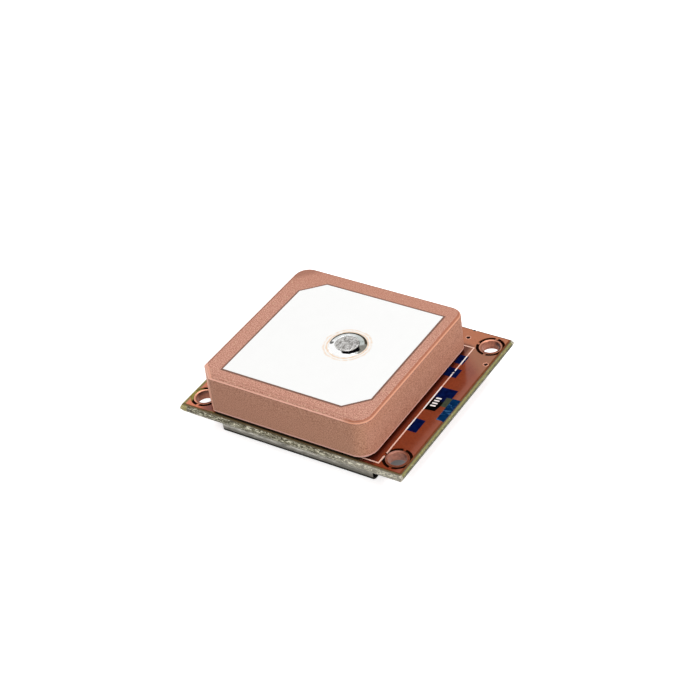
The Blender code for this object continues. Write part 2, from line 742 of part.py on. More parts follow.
def receiver_parts():
    """The parts soldered to the board's underside, inside the can, each placed from the feed pin
    or from its neighbour.
    """
    mould = finish("black_mould", (0.025, 0.025, 0.028), 0.45)
    package = finish("gold_lidded_ceramic", (0.72, 0.62, 0.42), 0.35, 1.0)
    ferrite = finish("ferrite", (0.09, 0.09, 0.09), 0.6)
    multilayer = finish("multilayer_ceramic", (0.50, 0.36, 0.24), 0.5)
    film = finish("thick_film", (0.04, 0.04, 0.05), 0.4)
    yellow = finish("tantalum_mould", (0.75, 0.52, 0.12), 0.5)
    quarter = math.pi / 2
    capacitor = (PASSIVE_LENGTH, PASSIVE_WIDTH, CAPACITOR_HEIGHT)
    resistor = (PASSIVE_LENGTH, PASSIVE_WIDTH, RESISTOR_HEIGHT)
    next_row = PART_CLEARANCE + PASSIVE_WIDTH / 2
    feed_reach = PIN_RADIUS + SEAT_GAP + BOTTOM_SOLDER_WIDTH + PART_CLEARANCE

    # Receiver chip to the left of the feed pin, with a row of capacitors on each side of it
    receiver_reach = RECEIVER_SIZE / 2 + CHIP_PAD_REACH
    receiver_x = FEED_X - feed_reach - receiver_reach
    receiver_y = FEED_Y + receiver_reach
    leadless_chip("gnss_receiver", (RECEIVER_SIZE, RECEIVER_SIZE, RECEIVER_HEIGHT),
                  (RECEIVER_PADS, RECEIVER_PADS), RECEIVER_PAD_PITCH, mould,
                  on_underside(receiver_x, receiver_y))
    for i in range(4):
        end_capped(f"capacitor_{i + 1}", capacitor, PASSIVE_TERMINAL, multilayer,
                   on_underside(receiver_x + (i - 1.5) * PASSIVE_PITCH,
                                receiver_y + receiver_reach + next_row))
    front_row = receiver_y - receiver_reach - next_row
    for i in range(3):
        end_capped(f"capacitor_{i + 5}", capacitor, PASSIVE_TERMINAL, multilayer,
                   on_underside(receiver_x + (i - 1) * PASSIVE_PITCH, front_row))

    # Clocks behind the feed pin and the memory to the right of it
    clock_front = FEED_Y + feed_reach
    oscillator_x = FEED_X - feed_reach + PART_CLEARANCE + OSCILLATOR_WIDTH / 2
    lidded_package("temperature_compensated_oscillator",
                   (OSCILLATOR_LENGTH, OSCILLATOR_WIDTH, OSCILLATOR_HEIGHT), package,
                   on_underside(oscillator_x, clock_front + OSCILLATOR_LENGTH / 2, quarter))
    crystal_x = oscillator_x + OSCILLATOR_WIDTH / 2 + PART_CLEARANCE + CRYSTAL_WIDTH / 2
    crystal_y = clock_front + CRYSTAL_LENGTH / 2
    lidded_package("clock_crystal", (CRYSTAL_LENGTH, CRYSTAL_WIDTH, CRYSTAL_HEIGHT), package,
                   on_underside(crystal_x, crystal_y, quarter))
    for i in range(2):
        end_capped(f"capacitor_{i + 8}", capacitor, PASSIVE_TERMINAL, multilayer,
                   on_underside(crystal_x + CRYSTAL_WIDTH / 2 + next_row,
                                crystal_y + (i - 0.5) * PASSIVE_PITCH, quarter))
    flash_reach = FLASH_WIDTH / 2 + CHIP_PAD_REACH
    flash_y = clock_front - PART_CLEARANCE - flash_reach
    leadless_chip("flash_memory", (FLASH_LENGTH, FLASH_WIDTH, FLASH_HEIGHT), (4, 0),
                  FLASH_PAD_PITCH, mould,
                  on_underside(FEED_X + feed_reach + FLASH_LENGTH / 2, flash_y))

    # Filter and amplifier in front of the feed pin, with their matching parts and bias resistors
    saw_y = FEED_Y - feed_reach - SAW_WIDTH / 2
    lidded_package("saw_filter", (SAW_LENGTH, SAW_WIDTH, SAW_HEIGHT), package,
                   on_underside(FEED_X, saw_y))
    amplifier_reach = AMPLIFIER_WIDTH / 2 + CHIP_PAD_REACH
    amplifier_y = saw_y - SAW_WIDTH / 2 - PART_CLEARANCE - amplifier_reach
    leadless_chip("low_noise_amplifier", (AMPLIFIER_LENGTH, AMPLIFIER_WIDTH, AMPLIFIER_HEIGHT),
                  (3, 0), FLASH_PAD_PITCH, mould, on_underside(FEED_X, amplifier_y))
    column = max(SAW_LENGTH, AMPLIFIER_LENGTH) / 2
    match_x = FEED_X + column + next_row
    match_y = flash_y - flash_reach - PART_CLEARANCE - PASSIVE_LENGTH / 2
    for i in range(2):
        y = match_y - i * PASSIVE_PITCH
        end_capped(f"matching_inductor_{i + 1}", capacitor, PASSIVE_TERMINAL, film,
                   on_underside(match_x, y, quarter))
        end_capped(f"resistor_{i + 4}", resistor, PASSIVE_TERMINAL, film,
                   on_underside(match_x + PASSIVE_WIDTH + PART_CLEARANCE, y, quarter))
    match_front = match_y - PASSIVE_PITCH - PASSIVE_LENGTH / 2
    resistor_y = min(match_front, amplifier_y - amplifier_reach) - next_row
    for i in range(3):
        end_capped(f"resistor_{i + 1}", resistor, PASSIVE_TERMINAL, film,
                   on_underside(FEED_X + (i - 1) * PASSIVE_PITCH, resistor_y))

    # Supply: regulator, choke and reservoir capacitor in front of the receiver chip
    supply_back = front_row - next_row
    inductor_x = FEED_X - column - PART_CLEARANCE - INDUCTOR_SIZE / 2
    power_inductor(ferrite, on_underside(inductor_x, supply_back - INDUCTOR_SIZE / 2))
    regulator_reach = REGULATOR_WIDTH / 2 + REGULATOR_LEAD_REACH
    regulator_x = inductor_x - INDUCTOR_SIZE / 2 - PART_CLEARANCE - REGULATOR_LENGTH / 2
    voltage_regulator(mould, on_underside(regulator_x, supply_back - regulator_reach))
    supply_front = supply_back - max(2 * regulator_reach, INDUCTOR_SIZE)
    tantalum_x = regulator_x + (TANTALUM_LENGTH - REGULATOR_LENGTH) / 2
    tantalum_y = supply_front - PART_CLEARANCE - TANTALUM_WIDTH / 2
    end_capped("reservoir_capacitor", (TANTALUM_LENGTH, TANTALUM_WIDTH, TANTALUM_HEIGHT),
               TANTALUM_TERMINAL, yellow, on_underside(tantalum_x, tantalum_y))


def build():
    clear_scene()
    circuit_board()
    ground_foil()
    hole_platings()
    solder_lands()
    antenna_tape()
    ground_electrode()
    ceramic_patch()
    patch_electrode()
    feed_pin()
    feed_solder_top()
    feed_solder_bottom()
    shield_can()
    receiver_parts()


build()
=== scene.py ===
"""Looks of a small satellite-positioning module, a ceramic patch antenna on a circuit board.

The sections follow the module as it is put together, from the bare board to the soldered feed
pin. Lengths are in metres; shader patterns work in millimetres on the object's own coordinates.
"""

import bmesh
import bpy
import numpy as np
from mathutils import Matrix, Vector


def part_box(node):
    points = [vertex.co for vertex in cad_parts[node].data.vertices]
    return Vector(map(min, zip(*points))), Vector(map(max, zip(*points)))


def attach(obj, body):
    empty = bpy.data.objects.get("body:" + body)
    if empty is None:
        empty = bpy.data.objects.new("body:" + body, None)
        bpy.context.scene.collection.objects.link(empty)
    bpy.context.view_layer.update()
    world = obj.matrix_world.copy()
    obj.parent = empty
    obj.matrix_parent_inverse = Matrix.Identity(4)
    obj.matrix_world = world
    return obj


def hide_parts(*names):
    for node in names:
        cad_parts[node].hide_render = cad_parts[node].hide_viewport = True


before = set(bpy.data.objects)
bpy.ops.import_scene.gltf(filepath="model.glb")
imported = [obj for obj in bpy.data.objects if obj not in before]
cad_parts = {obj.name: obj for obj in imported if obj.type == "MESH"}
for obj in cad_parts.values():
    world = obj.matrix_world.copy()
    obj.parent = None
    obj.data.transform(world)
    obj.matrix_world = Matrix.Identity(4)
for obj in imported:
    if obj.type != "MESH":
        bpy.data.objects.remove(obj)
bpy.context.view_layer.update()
mm = 0.001

# Studio: a white floor under the can, a pale even surround, a broad lamp behind and above with a
# weaker one on each side, and the camera at the photograph's place.


class Tone:
    """One socket in a shader tree. Arithmetic on it adds Math nodes, so a pattern is written as
    a sum; node() adds a node of any other kind and gives back one of its outputs."""

    def __init__(self, tree, socket=None):
        self.tree = tree
        self.socket = socket

    def node(self, kind, settings=None, sockets=None, out=0):
        """Add a node; its settings are set first, then its sockets, to values or links."""
        made = self.tree.nodes.new(f"ShaderNode{kind}")
        for name, value in (settings or {}).items():
            setattr(made, name, value)
        for name, value in (sockets or {}).items():
            if isinstance(value, Tone):
                self.tree.links.new(value.socket, made.inputs[name])
            else:
                made.inputs[name].default_value = value
        return Tone(self.tree, made.outputs[out])

    def maths(self, operation, *terms):
        return self.node("Math", {"operation": operation}, dict(enumerate(terms)))

    def __add__(self, other):
        return self.maths("ADD", self, other)

    def __radd__(self, other):
        return self.maths("ADD", other, self)

    def __sub__(self, other):
        return self.maths("SUBTRACT", self, other)

    def __rsub__(self, other):
        return self.maths("SUBTRACT", other, self)

    def __mul__(self, other):
        return self.maths("MULTIPLY", self, other)

    def __rmul__(self, other):
        return self.maths("MULTIPLY", other, self)

    def __pow__(self, other):
        return self.maths("POWER", self, other)

    def __abs__(self):
        return self.maths("ABSOLUTE", self)

    def sine(self):
        return self.maths("SINE", self)

    def most(self, other):
        return self.maths("MAXIMUM", self, other)

    def rise(self, start, end):
        """0 below start and 1 above end, with a smooth step between; end may be the lower."""
        limits = {"Value": self, "From Min": start, "From Max": end}
        return self.node("MapRange", {"interpolation_type": "SMOOTHSTEP"}, limits)

    def band(self, middle, half, blur):
        """1 within half of middle, falling to 0 over a blur outside it."""
        return abs(self - middle).rise(half + blur, half)

    def color(self, low, high):
        """A colour that goes from low to high as this value goes from 0 to 1. A Mix node has its
        two colours on sockets 6 and 7, and gives a colour back on its third output."""
        return self.node("Mix", {"data_type": "RGBA"}, {0: self, 6: low, 7: high}, out=2)

    def scaled(self, x, y, z):
        """This vector with each axis multiplied."""
        return self.node("VectorMath", {"operation": "MULTIPLY"}, {0: self, 1: (x, y, z)})

    def noise(self, scale, detail=2.0, roughness=0.5, distortion=0.0):
        """Noise over this vector, about 0.5."""
        sizes = {"Vector": self, "Scale": scale, "Detail": detail, "Roughness": roughness,
                 "Distortion": distortion}
        return self.node("TexNoise", None, sizes)

    def axes(self):
        """The three parts of this vector."""
        parts = self.node("SeparateXYZ", None, {0: self}).socket.node.outputs
        return [Tone(self.tree, part) for part in parts]


def paint(red, green, blue):
    """The linear colour of an sRGB colour given from 0 to 255."""
    share = np.array([red, green, blue]) / 255
    linear = np.where(share <= 0.04045, share / 12.92, ((share + 0.055) / 1.055) ** 2.4)
    return (*linear.tolist(), 1.0)


def seen_directly(tree):
    """1 for the rays that show a surface: the camera's own, mirrored and refracted ones; 0 for
    the rays that only gather light."""
    rays = Tone(tree).node("LightPath").socket.node.outputs
    camera_ray, glossy_ray, clear_ray = (
        Tone(tree, rays[f"Is {kind} Ray"]) for kind in ("Camera", "Glossy", "Transmission"))
    return camera_ray.most(glossy_ray).most(clear_ray)


scene = bpy.context.scene
scene.view_settings.view_transform = "Standard"

camera = bpy.data.objects.new("camera", bpy.data.cameras.new("camera"))
camera.data.lens = 91.52
camera.data.clip_start = 5 * mm
to_right = Vector((0.8482, 0.5194, -0.1043)).normalized()
to_back = Vector((0.4672, -0.6406, 0.6093)).normalized()
to_top = to_back.cross(to_right).normalized()
camera.matrix_world = Matrix.Translation((75.60 * mm, -103.01 * mm, 103.05 * mm)) @ Matrix(
    (to_right, to_top, to_back)).transposed().to_4x4()
scene.collection.objects.link(camera)
scene.camera = camera

surround = bpy.data.worlds.new("surround")
scene.world = surround
surround.use_nodes = True
sky_strength = seen_directly(surround.node_tree) * 0.70 + 0.30
back = surround.node_tree.nodes["Background"]
back.inputs["Color"].default_value = (1, 1, 1, 1)
surround.node_tree.links.new(sky_strength.socket, back.inputs["Strength"])


def hang_lamp(name, place, size, power):
    """A square area lamp, turned towards the module's middle, that no camera ray sees."""
    lamp = bpy.data.objects.new(name, bpy.data.lights.new(name, "AREA"))
    lamp.data.size = size
    lamp.data.energy = power
    lamp.visible_camera = False
    lamp.location = place
    lamp.rotation_mode = "QUATERNION"
    lamp.rotation_quaternion = Vector(place).to_track_quat("Z", "Y")
    scene.collection.objects.link(lamp)


hang_lamp("lamp_above", (0.02, 0.12, 0.44), 0.30, 0.96)
hang_lamp("lamp_right", (0.36, -0.16, 0.17), 0.20, 0.91)
hang_lamp("lamp_left", (-0.40, -0.02, 0.14), 0.20, 0.55)

# The floor lies a hair below the can, so that their faces never share a plane. What is seen of it
# is a white as bright as the surround, with a disc of painted shade under the front hole; what it
# throws back at the module is the light of a plain grey floor.
floor_mesh = bpy.data.meshes.new("floor")
floor_height = -0.02 * mm
reach = 2
corners = [(x, y, floor_height) for x, y in (
    (-reach, -reach), (reach, -reach), (reach, reach), (-reach, reach))]
floor_mesh.from_pydata(corners, [], [(0, 1, 2, 3)])
floor = bpy.data.objects.new("floor", floor_mesh)
scene.collection.objects.link(floor)
floor_finish = bpy.data.materials.new("floor")
floor_finish.use_nodes = True
floor_mesh.materials.append(floor_finish)
tree = floor_finish.node_tree
tree.nodes.remove(tree.nodes["Principled BSDF"])
ground = Tone(tree)
x, y, z = ground.node("TexCoord", out="Object").axes()
# Painted shade: a disc of the floor under the front hole is darker and glows less.
hole_shade = ((x - 8.4 * mm) ** 2 + (y + 6.1 * mm) ** 2).rise((1.6 * mm) ** 2, (1.0 * mm) ** 2)
plain_grey = ground.node("BsdfDiffuse", None, {"Color": paint(186, 186, 185)})
half_lit = ground.node("BsdfDiffuse", None, {"Color": hole_shade.color(
    (0.46, 0.46, 0.46, 1), (0.18, 0.18, 0.18, 1))})
lit = ground.node("AddShader", None, {0: half_lit, 1: half_lit})
glow = ground.node("Emission", None, {"Strength": 0.64 - hole_shade * 0.58})
white = ground.node("AddShader", None, {0: lit, 1: glow})
whole = ground.node("MixShader", None, {0: seen_directly(tree), 1: plain_grey, 2: white})
tree.links.new(whole.socket, tree.nodes["Material Output"].inputs["Surface"])

# Circuit board: 0.8 mm glass-fibre laminate, scored from both faces and snapped out of its panel,
# so its edges show torn bundles of glass between two milled slopes.
board_low, board_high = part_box("circuit_board")
score_slope, notch_radius = 0.15 * mm, 0.23 * mm

# Places of the fixing holes and of the half hole in the back edge, in millimetres as in patterns
hole_x, hole_y, notch_x = 10.15, 8.5, 7.62


class Finish:
    """A Principled material. Values that are the same all over stand on the shader's own sockets
    and what varies is linked to them; place is the object's own position in millimetres."""

    def __init__(self, name, color, **fixed):
        self.material = bpy.data.materials.new(name)
        self.material.use_nodes = True
        self.tree = self.material.node_tree
        self.shader = self.tree.nodes["Principled BSDF"]
        self.shader.inputs["Base Color"].default_value = color
        for socket, value in fixed.items():
            self.shader.inputs[socket.replace("_", " ")].default_value = value
        spot = Tone(self.tree).node("TexCoord", out="Object")
        self.place = spot.scaled(1000, 1000, 1000)

    def vary(self, socket, tone):
        self.tree.links.new(tone.socket, self.shader.inputs[socket])

    def bump(self, height, depth):
        """Relief of a height from 0 to 1 that stands up to a depth in metres."""
        sizes = {"Height": height, "Distance": depth}
        self.vary("Normal", height.node("Bump", None, sizes))


laminate = Finish("laminate", paint(120, 108, 62), Roughness=0.5, Specular_IOR_Level=0.0,
                  Coat_Roughness=0.1)


def cover(node, finish):
    """Give a CAD node this finish."""
    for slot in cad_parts[node].material_slots:
        slot.material = finish.material


def add_piece(name, mesh, finish, slot, *stands_for):
    """Put a finished mesh in the scene as a piece of the module."""
    piece = bpy.data.objects.new(name, mesh)
    scene.collection.objects.link(piece)
    mesh.materials.append(finish.material)
    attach(piece, "root")
    if stands_for:
        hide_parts(*stands_for)
    return piece


def surface(name, points, ring=False, left_out=None):
    """Mesh over rows and columns of points, one quad to each cell; the last column joins the
    first, and with ring the last row joins the first too. left_out tells from the middles of
    the cells which ones stay open. Doubled points become one, and the faces turn outwards."""
    rows, columns = points.shape[:2]
    index = np.arange(rows * columns).reshape(rows, columns)
    after = np.roll(index, -1, axis=1)
    if ring:
        index = np.vstack([index, index[:1]])
        after = np.vstack([after, after[:1]])
    quads = np.stack([index[:-1], after[:-1], after[1:], index[1:]], axis=-1).reshape(-1, 4)
    points = points.reshape(-1, 3)
    if left_out:
        quads = quads[~left_out(points[quads].mean(axis=1))]
    mesh = bpy.data.meshes.new(name)
    mesh.from_pydata(points.tolist(), [], quads.tolist())
    shell = bmesh.new()
    shell.from_mesh(mesh)
    bmesh.ops.remove_doubles(shell, verts=shell.verts, dist=1e-7)
    bmesh.ops.recalc_face_normals(shell, faces=shell.faces)
    shell.to_mesh(mesh)
    shell.free()
    mesh.shade_smooth()
    return mesh


def smooth_noise(across, along, seed, wrap=0):
    """Random heights from 0 to 1 over a plane measured in cells: values drawn at the corners of
    each cell are joined across it by the curve 3t^2 - 2t^3. With wrap, the pattern repeats after
    that many cells across."""
    size = 256
    drawn = np.random.default_rng(seed).random((size, size))
    column, row = np.floor(across).astype(int), np.floor(along).astype(int)
    s, t = across - column, along - row
    s, t = s * s * (3 - 2 * s), t * t * (3 - 2 * t)
    period = wrap or size
    left, right = column % period, (column + 1) % period
    low, high = row % size, (row + 1) % size
    front = drawn[left, low] * (1 - s) + drawn[right, low] * s
    rear = drawn[left, high] * (1 - s) + drawn[right, high] * s
    return front * (1 - t) + rear * t


def snapped_edge():
    """Band round the board: its section runs up the lower milled slope, the torn web and the
    upper slope, and back inside the laminate. The web stands out by layered noise, coarse for
    the glass bundles and fine for their broken ends; at the half hole in the back edge the band
    comes in to the hole's circle."""
    middle_x, half_x = (board_low.x + board_high.x) / 2, (board_high.x - board_low.x) / 2
    half_y = board_high.y
    low, high = board_low.z, board_high.z
    steps = np.linspace(-1, 1, 360, endpoint=False)
    ones = np.ones_like(steps)
    around_x = np.concatenate([steps, ones, -steps, -ones])
    around_y = np.concatenate([-ones, steps, ones, -steps])
    levels = np.array([0, 0.02, 0.10, 0.20, 0.28, 0.30, 0.34, 0.38, 0.42, 0.46, 0.50, 0.52, 0.60,
                       0.70, 0.78, 0.80]) / 0.8
    depth = np.interp(levels, [0, 0.375, 0.625, 1], [1, 0, 0, 1]) * score_slope
    torn = np.interp(levels, [0.02, 0.2, 0.40, 0.60, 0.8, 0.98], [0, 0.25, 1, 1, 0.25, 0])
    run = np.arange(around_x.size)[None, :] / around_x.size
    level = levels[:, None]
    bundle_count = 220
    bundles = smooth_noise(run * bundle_count, level * 6, 3, wrap=bundle_count)
    ends = smooth_noise(run * 700 % 250, level * 14, 4)
    stand = (0.004 + torn[:, None] * (0.018 * bundles + 0.012 * ends)) * mm
    out = stand - depth[:, None]
    height = low + (high - low) * level + np.zeros_like(out)
    outer = np.stack([middle_x + around_x * (half_x + out), around_y * (half_y + out), height],
                     axis=-1)
    past_notch = notch_radius**2 - (outer[..., 0] - notch_x * mm) ** 2
    notch = half_y - score_slope - np.sqrt(np.maximum(past_notch, 0))
    at_notch = (past_notch > 0) & (outer[..., 1] > notch)
    outer[..., 1] = np.where(at_notch, notch, outer[..., 1])
    inset = 0.32 * mm
    heights = low + np.array([[0.76], [0.04]]) * mm + 0 * around_x
    inner = np.stack([middle_x + around_x * (half_x - inset) + 0 * heights,
                      around_y * (half_y - inset) + 0 * heights, heights], axis=-1)
    return surface("snapped_edge", np.concatenate([outer, inner]), ring=True)


def from_hole(x, y):
    """Distance to the axis of the nearest fixing hole, in millimetres."""
    return ((abs(x) - hole_x) ** 2 + (abs(y) - hole_y) ** 2) ** 0.5


# The faces are bare resin over woven glass at the margins, near black inside the isolation rings,
# and under the same orange mask on the underside, where pads and lands stand clear of it.
x, y, z = laminate.place.axes()
to_hole = from_hole(x, y)
on_face = abs(x + 0.1).rise(11.36, 11.31)
weave = (x * 7.5).sine() * (y * 7.5).sine()
threads = laminate.place.noise(2.2, 3) + weave * 0.06
resin = threads.color(paint(104, 58, 34), paint(144, 90, 58))
pale = threads.color(paint(140, 128, 62), paint(164, 154, 88))
resin = x.rise(-10.7, -11.1).color(resin, pale)
resin = (y.rise(-10.0, -10.05) * 0.85).color(resin, paint(112, 101, 70))
ring_floor = to_hole.rise(1.50, 1.44) * z.rise(2.2, 2.3) * on_face
ring_floor = ring_floor * (x + 11.0).rise(-0.15, 0.1)
faces = ring_floor.color(resin, paint(26, 9, 5))
under = z.rise(1.575, 1.565) * on_face * abs(y).rise(10.06, 10.01) * to_hole.rise(1.30, 1.34)
mask_tone = laminate.place.noise(1.4, 3).color(paint(140, 62, 26), paint(166, 84, 42))
laminate.vary("Base Color", under.color(faces, mask_tone))
laminate.vary("Coat Weight", under * 0.5)
laminate.bump(laminate.place.noise(14, 3), 0.006 * mm)
cover("circuit_board", laminate)

torn_glass = Finish("torn_glass", paint(170, 166, 138), Roughness=0.6)
x, y, z = torn_glass.place.axes()
long_edge = abs(y).rise(10.0, 10.12)
strands = long_edge.color(torn_glass.place.scaled(7.0, 2.2, 7.0),
                          torn_glass.place.scaled(2.2, 7.0, 7.0))
bundle = strands.noise(1.0, 3, 0.65, 0.8)
broken = strands.noise(1.7, 2, 0.5, 0.5)
glassy = (bundle * 5.6 - 2.3).color(paint(74, 68, 42), paint(212, 206, 178))
glassy = bundle.rise(0.55, 0.61).color(glassy, paint(255, 252, 228))
glassy = broken.rise(0.46, 0.40).color(glassy, paint(54, 47, 28))
glassy = (x.rise(3.0, 7.0) * 0.35).color(glassy, paint(234, 226, 210))
corner = x.rise(-10.9, -11.2) * 0.8
glassy = corner.color(glassy, paint(190, 176, 112))
plain = (bundle * 3.6 - 1.3).color(paint(62, 60, 36), paint(122, 117, 80))
plain = (z.band(2.20, 0.06, 0.05) * 0.6).color(plain, paint(158, 150, 82))
# Painted shade: the side edges turn darker towards their lower slope.
plain = (z.rise(2.05, 1.85) * 0.65).color(plain, paint(58, 56, 40))
plain = (broken.rise(0.62, 0.70) * 0.8).color(plain, paint(196, 190, 158))
tone = long_edge.color(plain, glassy)
tone = (z.rise(2.26, 2.33) * 0.75).color(tone, paint(84, 68, 44))
# Painted shade on the lowest slope, which faces down: all round, and higher up on the side edges.
lower_slope_shade = z.rise(1.66, 1.58).most(z.rise(1.84, 1.76) * (1 - long_edge)) * 0.8
torn_glass.vary("Base Color", lower_slope_shade.color(tone, paint(52, 48, 34)))
torn_glass.bump(bundle * 0.6 + broken * 0.4, 0.03 * mm)
add_piece("snapped_edge", snapped_edge(), torn_glass, "laminate")

# Copper plane under a glossy, see-through orange solder mask: it stops short of the edges, rings
# stand open round the fixing pads, and the mask is thin enough for the copper to glow through.
masked = Finish("masked_copper", paint(132, 52, 18), Roughness=0.18, Metallic=0.2,
                Coat_Weight=0.28, Coat_Roughness=0.05)
x, y, z = masked.place.axes()
cloud = masked.place.noise(0.55, 3, 0.6)
grain = masked.place.noise(6, 3)
deep = (cloud * 1.6 - 0.3).color(paint(120, 42, 8), paint(138, 54, 16))
deep = (grain * 1.2 - 0.4).color(deep, paint(152, 68, 28))
right_front = x.rise(10.2, 10.9) * y.rise(0.5, -2.0)
deep = (x.rise(10.4, 11.1) * 0.7).color(deep, paint(148, 66, 28))
# Painted sheen: the mask is lighter and pinker towards the back right.
deep = ((y + x * 0.8).rise(12.6, 14.4) * 0.8).color(deep, paint(158, 98, 62))
deep = y.rise(7.7, 8.3).color(deep, grain.color(paint(162, 84, 42), paint(190, 112, 68)))
# Painted light: the mask turns light salmon towards the front left corner, where light from the
# left falls.
lit_left_corner = x.rise(-9.0, -10.2) * y.rise(-3.0, -6.0)
deep = lit_left_corner.color(deep, grain.color(paint(196, 98, 58), paint(222, 132, 92)))
shaded = x.band(8.0, 0.32, 0.5) * abs(y + 1.1).rise(9.3, 8.7) * 0.8
deep = shaded.color(deep, paint(74, 20, 5))
left_rim = (x + 11.45).rise(0.20, 0.14)
front_rim = (y + 10.05).rise(0.07, 0.03) * x.rise(5.5, 4.5) * (x + 9.0).rise(0.0, 0.6)
deep = (left_rim + front_rim).color(deep, paint(132, 116, 58))
# Painted shade: the mask is near black along the ceramic's front edge, under its overhang, and has
# no coat there.
shade_under_ceramic = (y + 9.6).rise(0.0, -0.12) * x.rise(7.9, 7.0) * (x + 8.2).rise(0.0, 0.25)
deep = shade_under_ceramic.color(deep, paint(42, 33, 18))
masked.vary("Base Color", deep)
masked.vary("Coat Weight", (1 - shade_under_ceramic.most(right_front * 0.7).most(shaded)) * 0.28)
masked.vary("Metallic", shaded * 0.6 + 0.2)
masked.bump(cloud * 0.6 + grain * 0.4, 0.0025 * mm)
cover("ground_foil", masked)

# Dark windows in the mask, beside the antenna: bare areas of the board seen through blue-black
# ink, printed a hundredth of a millimetre thick.
foil_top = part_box("ground_foil")[1].z


def flat_print(name, outlines, top, depth):
    """Mesh of thin slabs: each outline, a list of points in millimetres run anticlockwise, is
    filled at a top height and carried straight down by a depth."""
    points, faces, first = [], [], 0
    for outline in outlines:
        flat = np.array(outline) * mm
        upper = first + np.arange(len(flat))
        lower = upper + len(flat)
        points += [np.column_stack([flat, np.full(len(flat), height)])
                   for height in (top, top - depth)]
        walls = np.stack([upper, lower, np.roll(lower, -1), np.roll(upper, -1)], axis=-1)
        faces += [upper.tolist(), lower[::-1].tolist(), *walls.tolist()]
        first += 2 * len(flat)
    mesh = bpy.data.meshes.new(name)
    mesh.from_pydata(np.concatenate(points).tolist(), [], faces)
    return mesh


def block(left, right, front, back):
    """Outline of a rectangle between its four sides."""
    return [(left, front), (right, front), (right, back), (left, back)]


window_outlines = [
    block(8.20, 9.08, 5.10, 6.35),
    block(8.10, 9.42, 3.15, 4.40),
    [(8.98, 1.55), (8.98, -1.79), (9.97, -1.66), (10.10, -0.85), (10.05, 0.42), (10.56, 0.44),
     (10.54, 1.62)],
    block(8.95, 9.90, -4.90, -3.15),
]
ink = Finish("dark_window", paint(10, 16, 58), Roughness=0.5, Specular_IOR_Level=0.0)
ink_cloud = ink.place.noise(2.4, 3)
x, y, z = ink.place.axes()
tone = (ink_cloud * 2.4 - 0.7).color(paint(4, 8, 50), paint(10, 26, 76))
# Painted shade: the middle window turns near black over its front part, next to the ceramic.
ceramic_shade_part = (y + x * 0.35).rise(3.5, 3.0) * abs(y).rise(2.4, 2.2)
ink.vary("Base Color", ceramic_shade_part.color(tone, paint(8, 7, 8)))
dark_slabs = flat_print("dark_windows", window_outlines, foil_top + 0.004 * mm, 0.012 * mm)
add_piece("dark_windows", dark_slabs, ink, "masked_copper")

blue = Finish("blue_window", paint(10, 44, 86), Roughness=0.5, Specular_IOR_Level=0.0)
stroke = blue.place.scaled(1.6, 3.4, 1).noise(1, 2, 0.5, 0.8)
tone = (blue.place.noise(2, 2) * 1.8 - 0.4).color(paint(2, 30, 68), paint(10, 54, 98))
blue.vary("Base Color", stroke.rise(0.56, 0.66).color(tone, paint(52, 98, 142)))
blue_outline = block(10.62, 11.38, -2.60, 0.50)
blue_slab = flat_print("blue_window", [blue_outline], foil_top + 0.004 * mm, 0.066 * mm)
add_piece("blue_window", blue_slab, blue, "masked_copper")

bare = Finish("bare_window", paint(54, 62, 50), Roughness=0.5, Specular_IOR_Level=0.1)
bare.vary("Base Color", bare.place.noise(3, 3).color(paint(38, 46, 40), paint(74, 82, 58)))
bare_outline = block(10.06, 10.64, -0.85, 0.43)
bare_slab = flat_print("bare_window", [bare_outline], foil_top + 0.0035 * mm, 0.0115 * mm)
add_piece("bare_window", bare_slab, bare, "masked_copper")

# White ink: the outline that the antenna is set to, broken where it meets the front fixing pad,
# and four short strokes on the dark window.
line = 0.065
corner_x, corner_back, corner_front = 8.93, 7.70, -9.66
back_x = 8.85
white_outlines = [
    block(7.60, back_x + line, corner_back - line, corner_back + line),
    [(corner_x - line, -8.25), (corner_x + line, -8.25), (back_x + line, corner_back - line),
     (back_x - line, corner_back - line)],
    block(corner_x - line, corner_x + line, corner_front + line, -8.65),
    block(6.20, corner_x + line, corner_front - line, corner_front + line),
]
for i in range(4):
    front = -1.18 + i * 0.36
    white_outlines.append([(9.20, front), (9.70, front + 0.06), (9.70, front + 0.24),
                           (9.20, front + 0.18)])
white_ink = Finish("white_ink", paint(236, 214, 204), Roughness=0.45)
worn = white_ink.place.noise(5, 3)
x, y, z = white_ink.place.axes()
over_dark = y.band(5.72, 0.62, 0.04).most(y.band(3.78, 0.62, 0.04)).most(
    y.band(-0.1, 1.70, 0.04)).most(y.band(-4.02, 0.88, 0.04))
thin = (worn * 1.8 - 0.2).color(paint(238, 176, 150), paint(246, 212, 196))
inked = over_dark.color(thin, paint(250, 248, 245))
broken_ink = y.band(3.85, 0.28, 0.05) * worn.rise(0.54, 0.48)
white_ink.vary("Base Color", broken_ink.color(inked, paint(12, 20, 58)))
white_slabs = flat_print("white_print", white_outlines, foil_top + 0.008 * mm, 0.070 * mm)
add_piece("white_print", white_slabs, white_ink, "masked_copper")

# Plated fixing holes: a copper barrel rolled over into an annular pad on each face, with the mask
# run over the upper pad.
copper = Finish("plated_copper", paint(190, 112, 80), Metallic=0.55, Roughness=0.3)
x, y, z = copper.place.axes()
to_hole = from_hole(x, y)
tarnish = copper.place.noise(3.5, 3)
pad = (tarnish * 1.4 - 0.2).color(paint(168, 96, 64), paint(198, 132, 102))
dull = (tarnish * 1.4 - 0.2).color(paint(108, 54, 32), paint(150, 84, 58))
at_front = x.rise(0, 1) * y.rise(0, -1)
pad = (to_hole.band(1.0, 0.035, 0.03) * 0.4).color(pad, paint(232, 176, 152))
pad = at_front.most(x.rise(0, 1) * 0.4).color(pad, dull)
wall = (tarnish * 1.4 - 0.2).color(paint(128, 74, 54), paint(188, 122, 98))
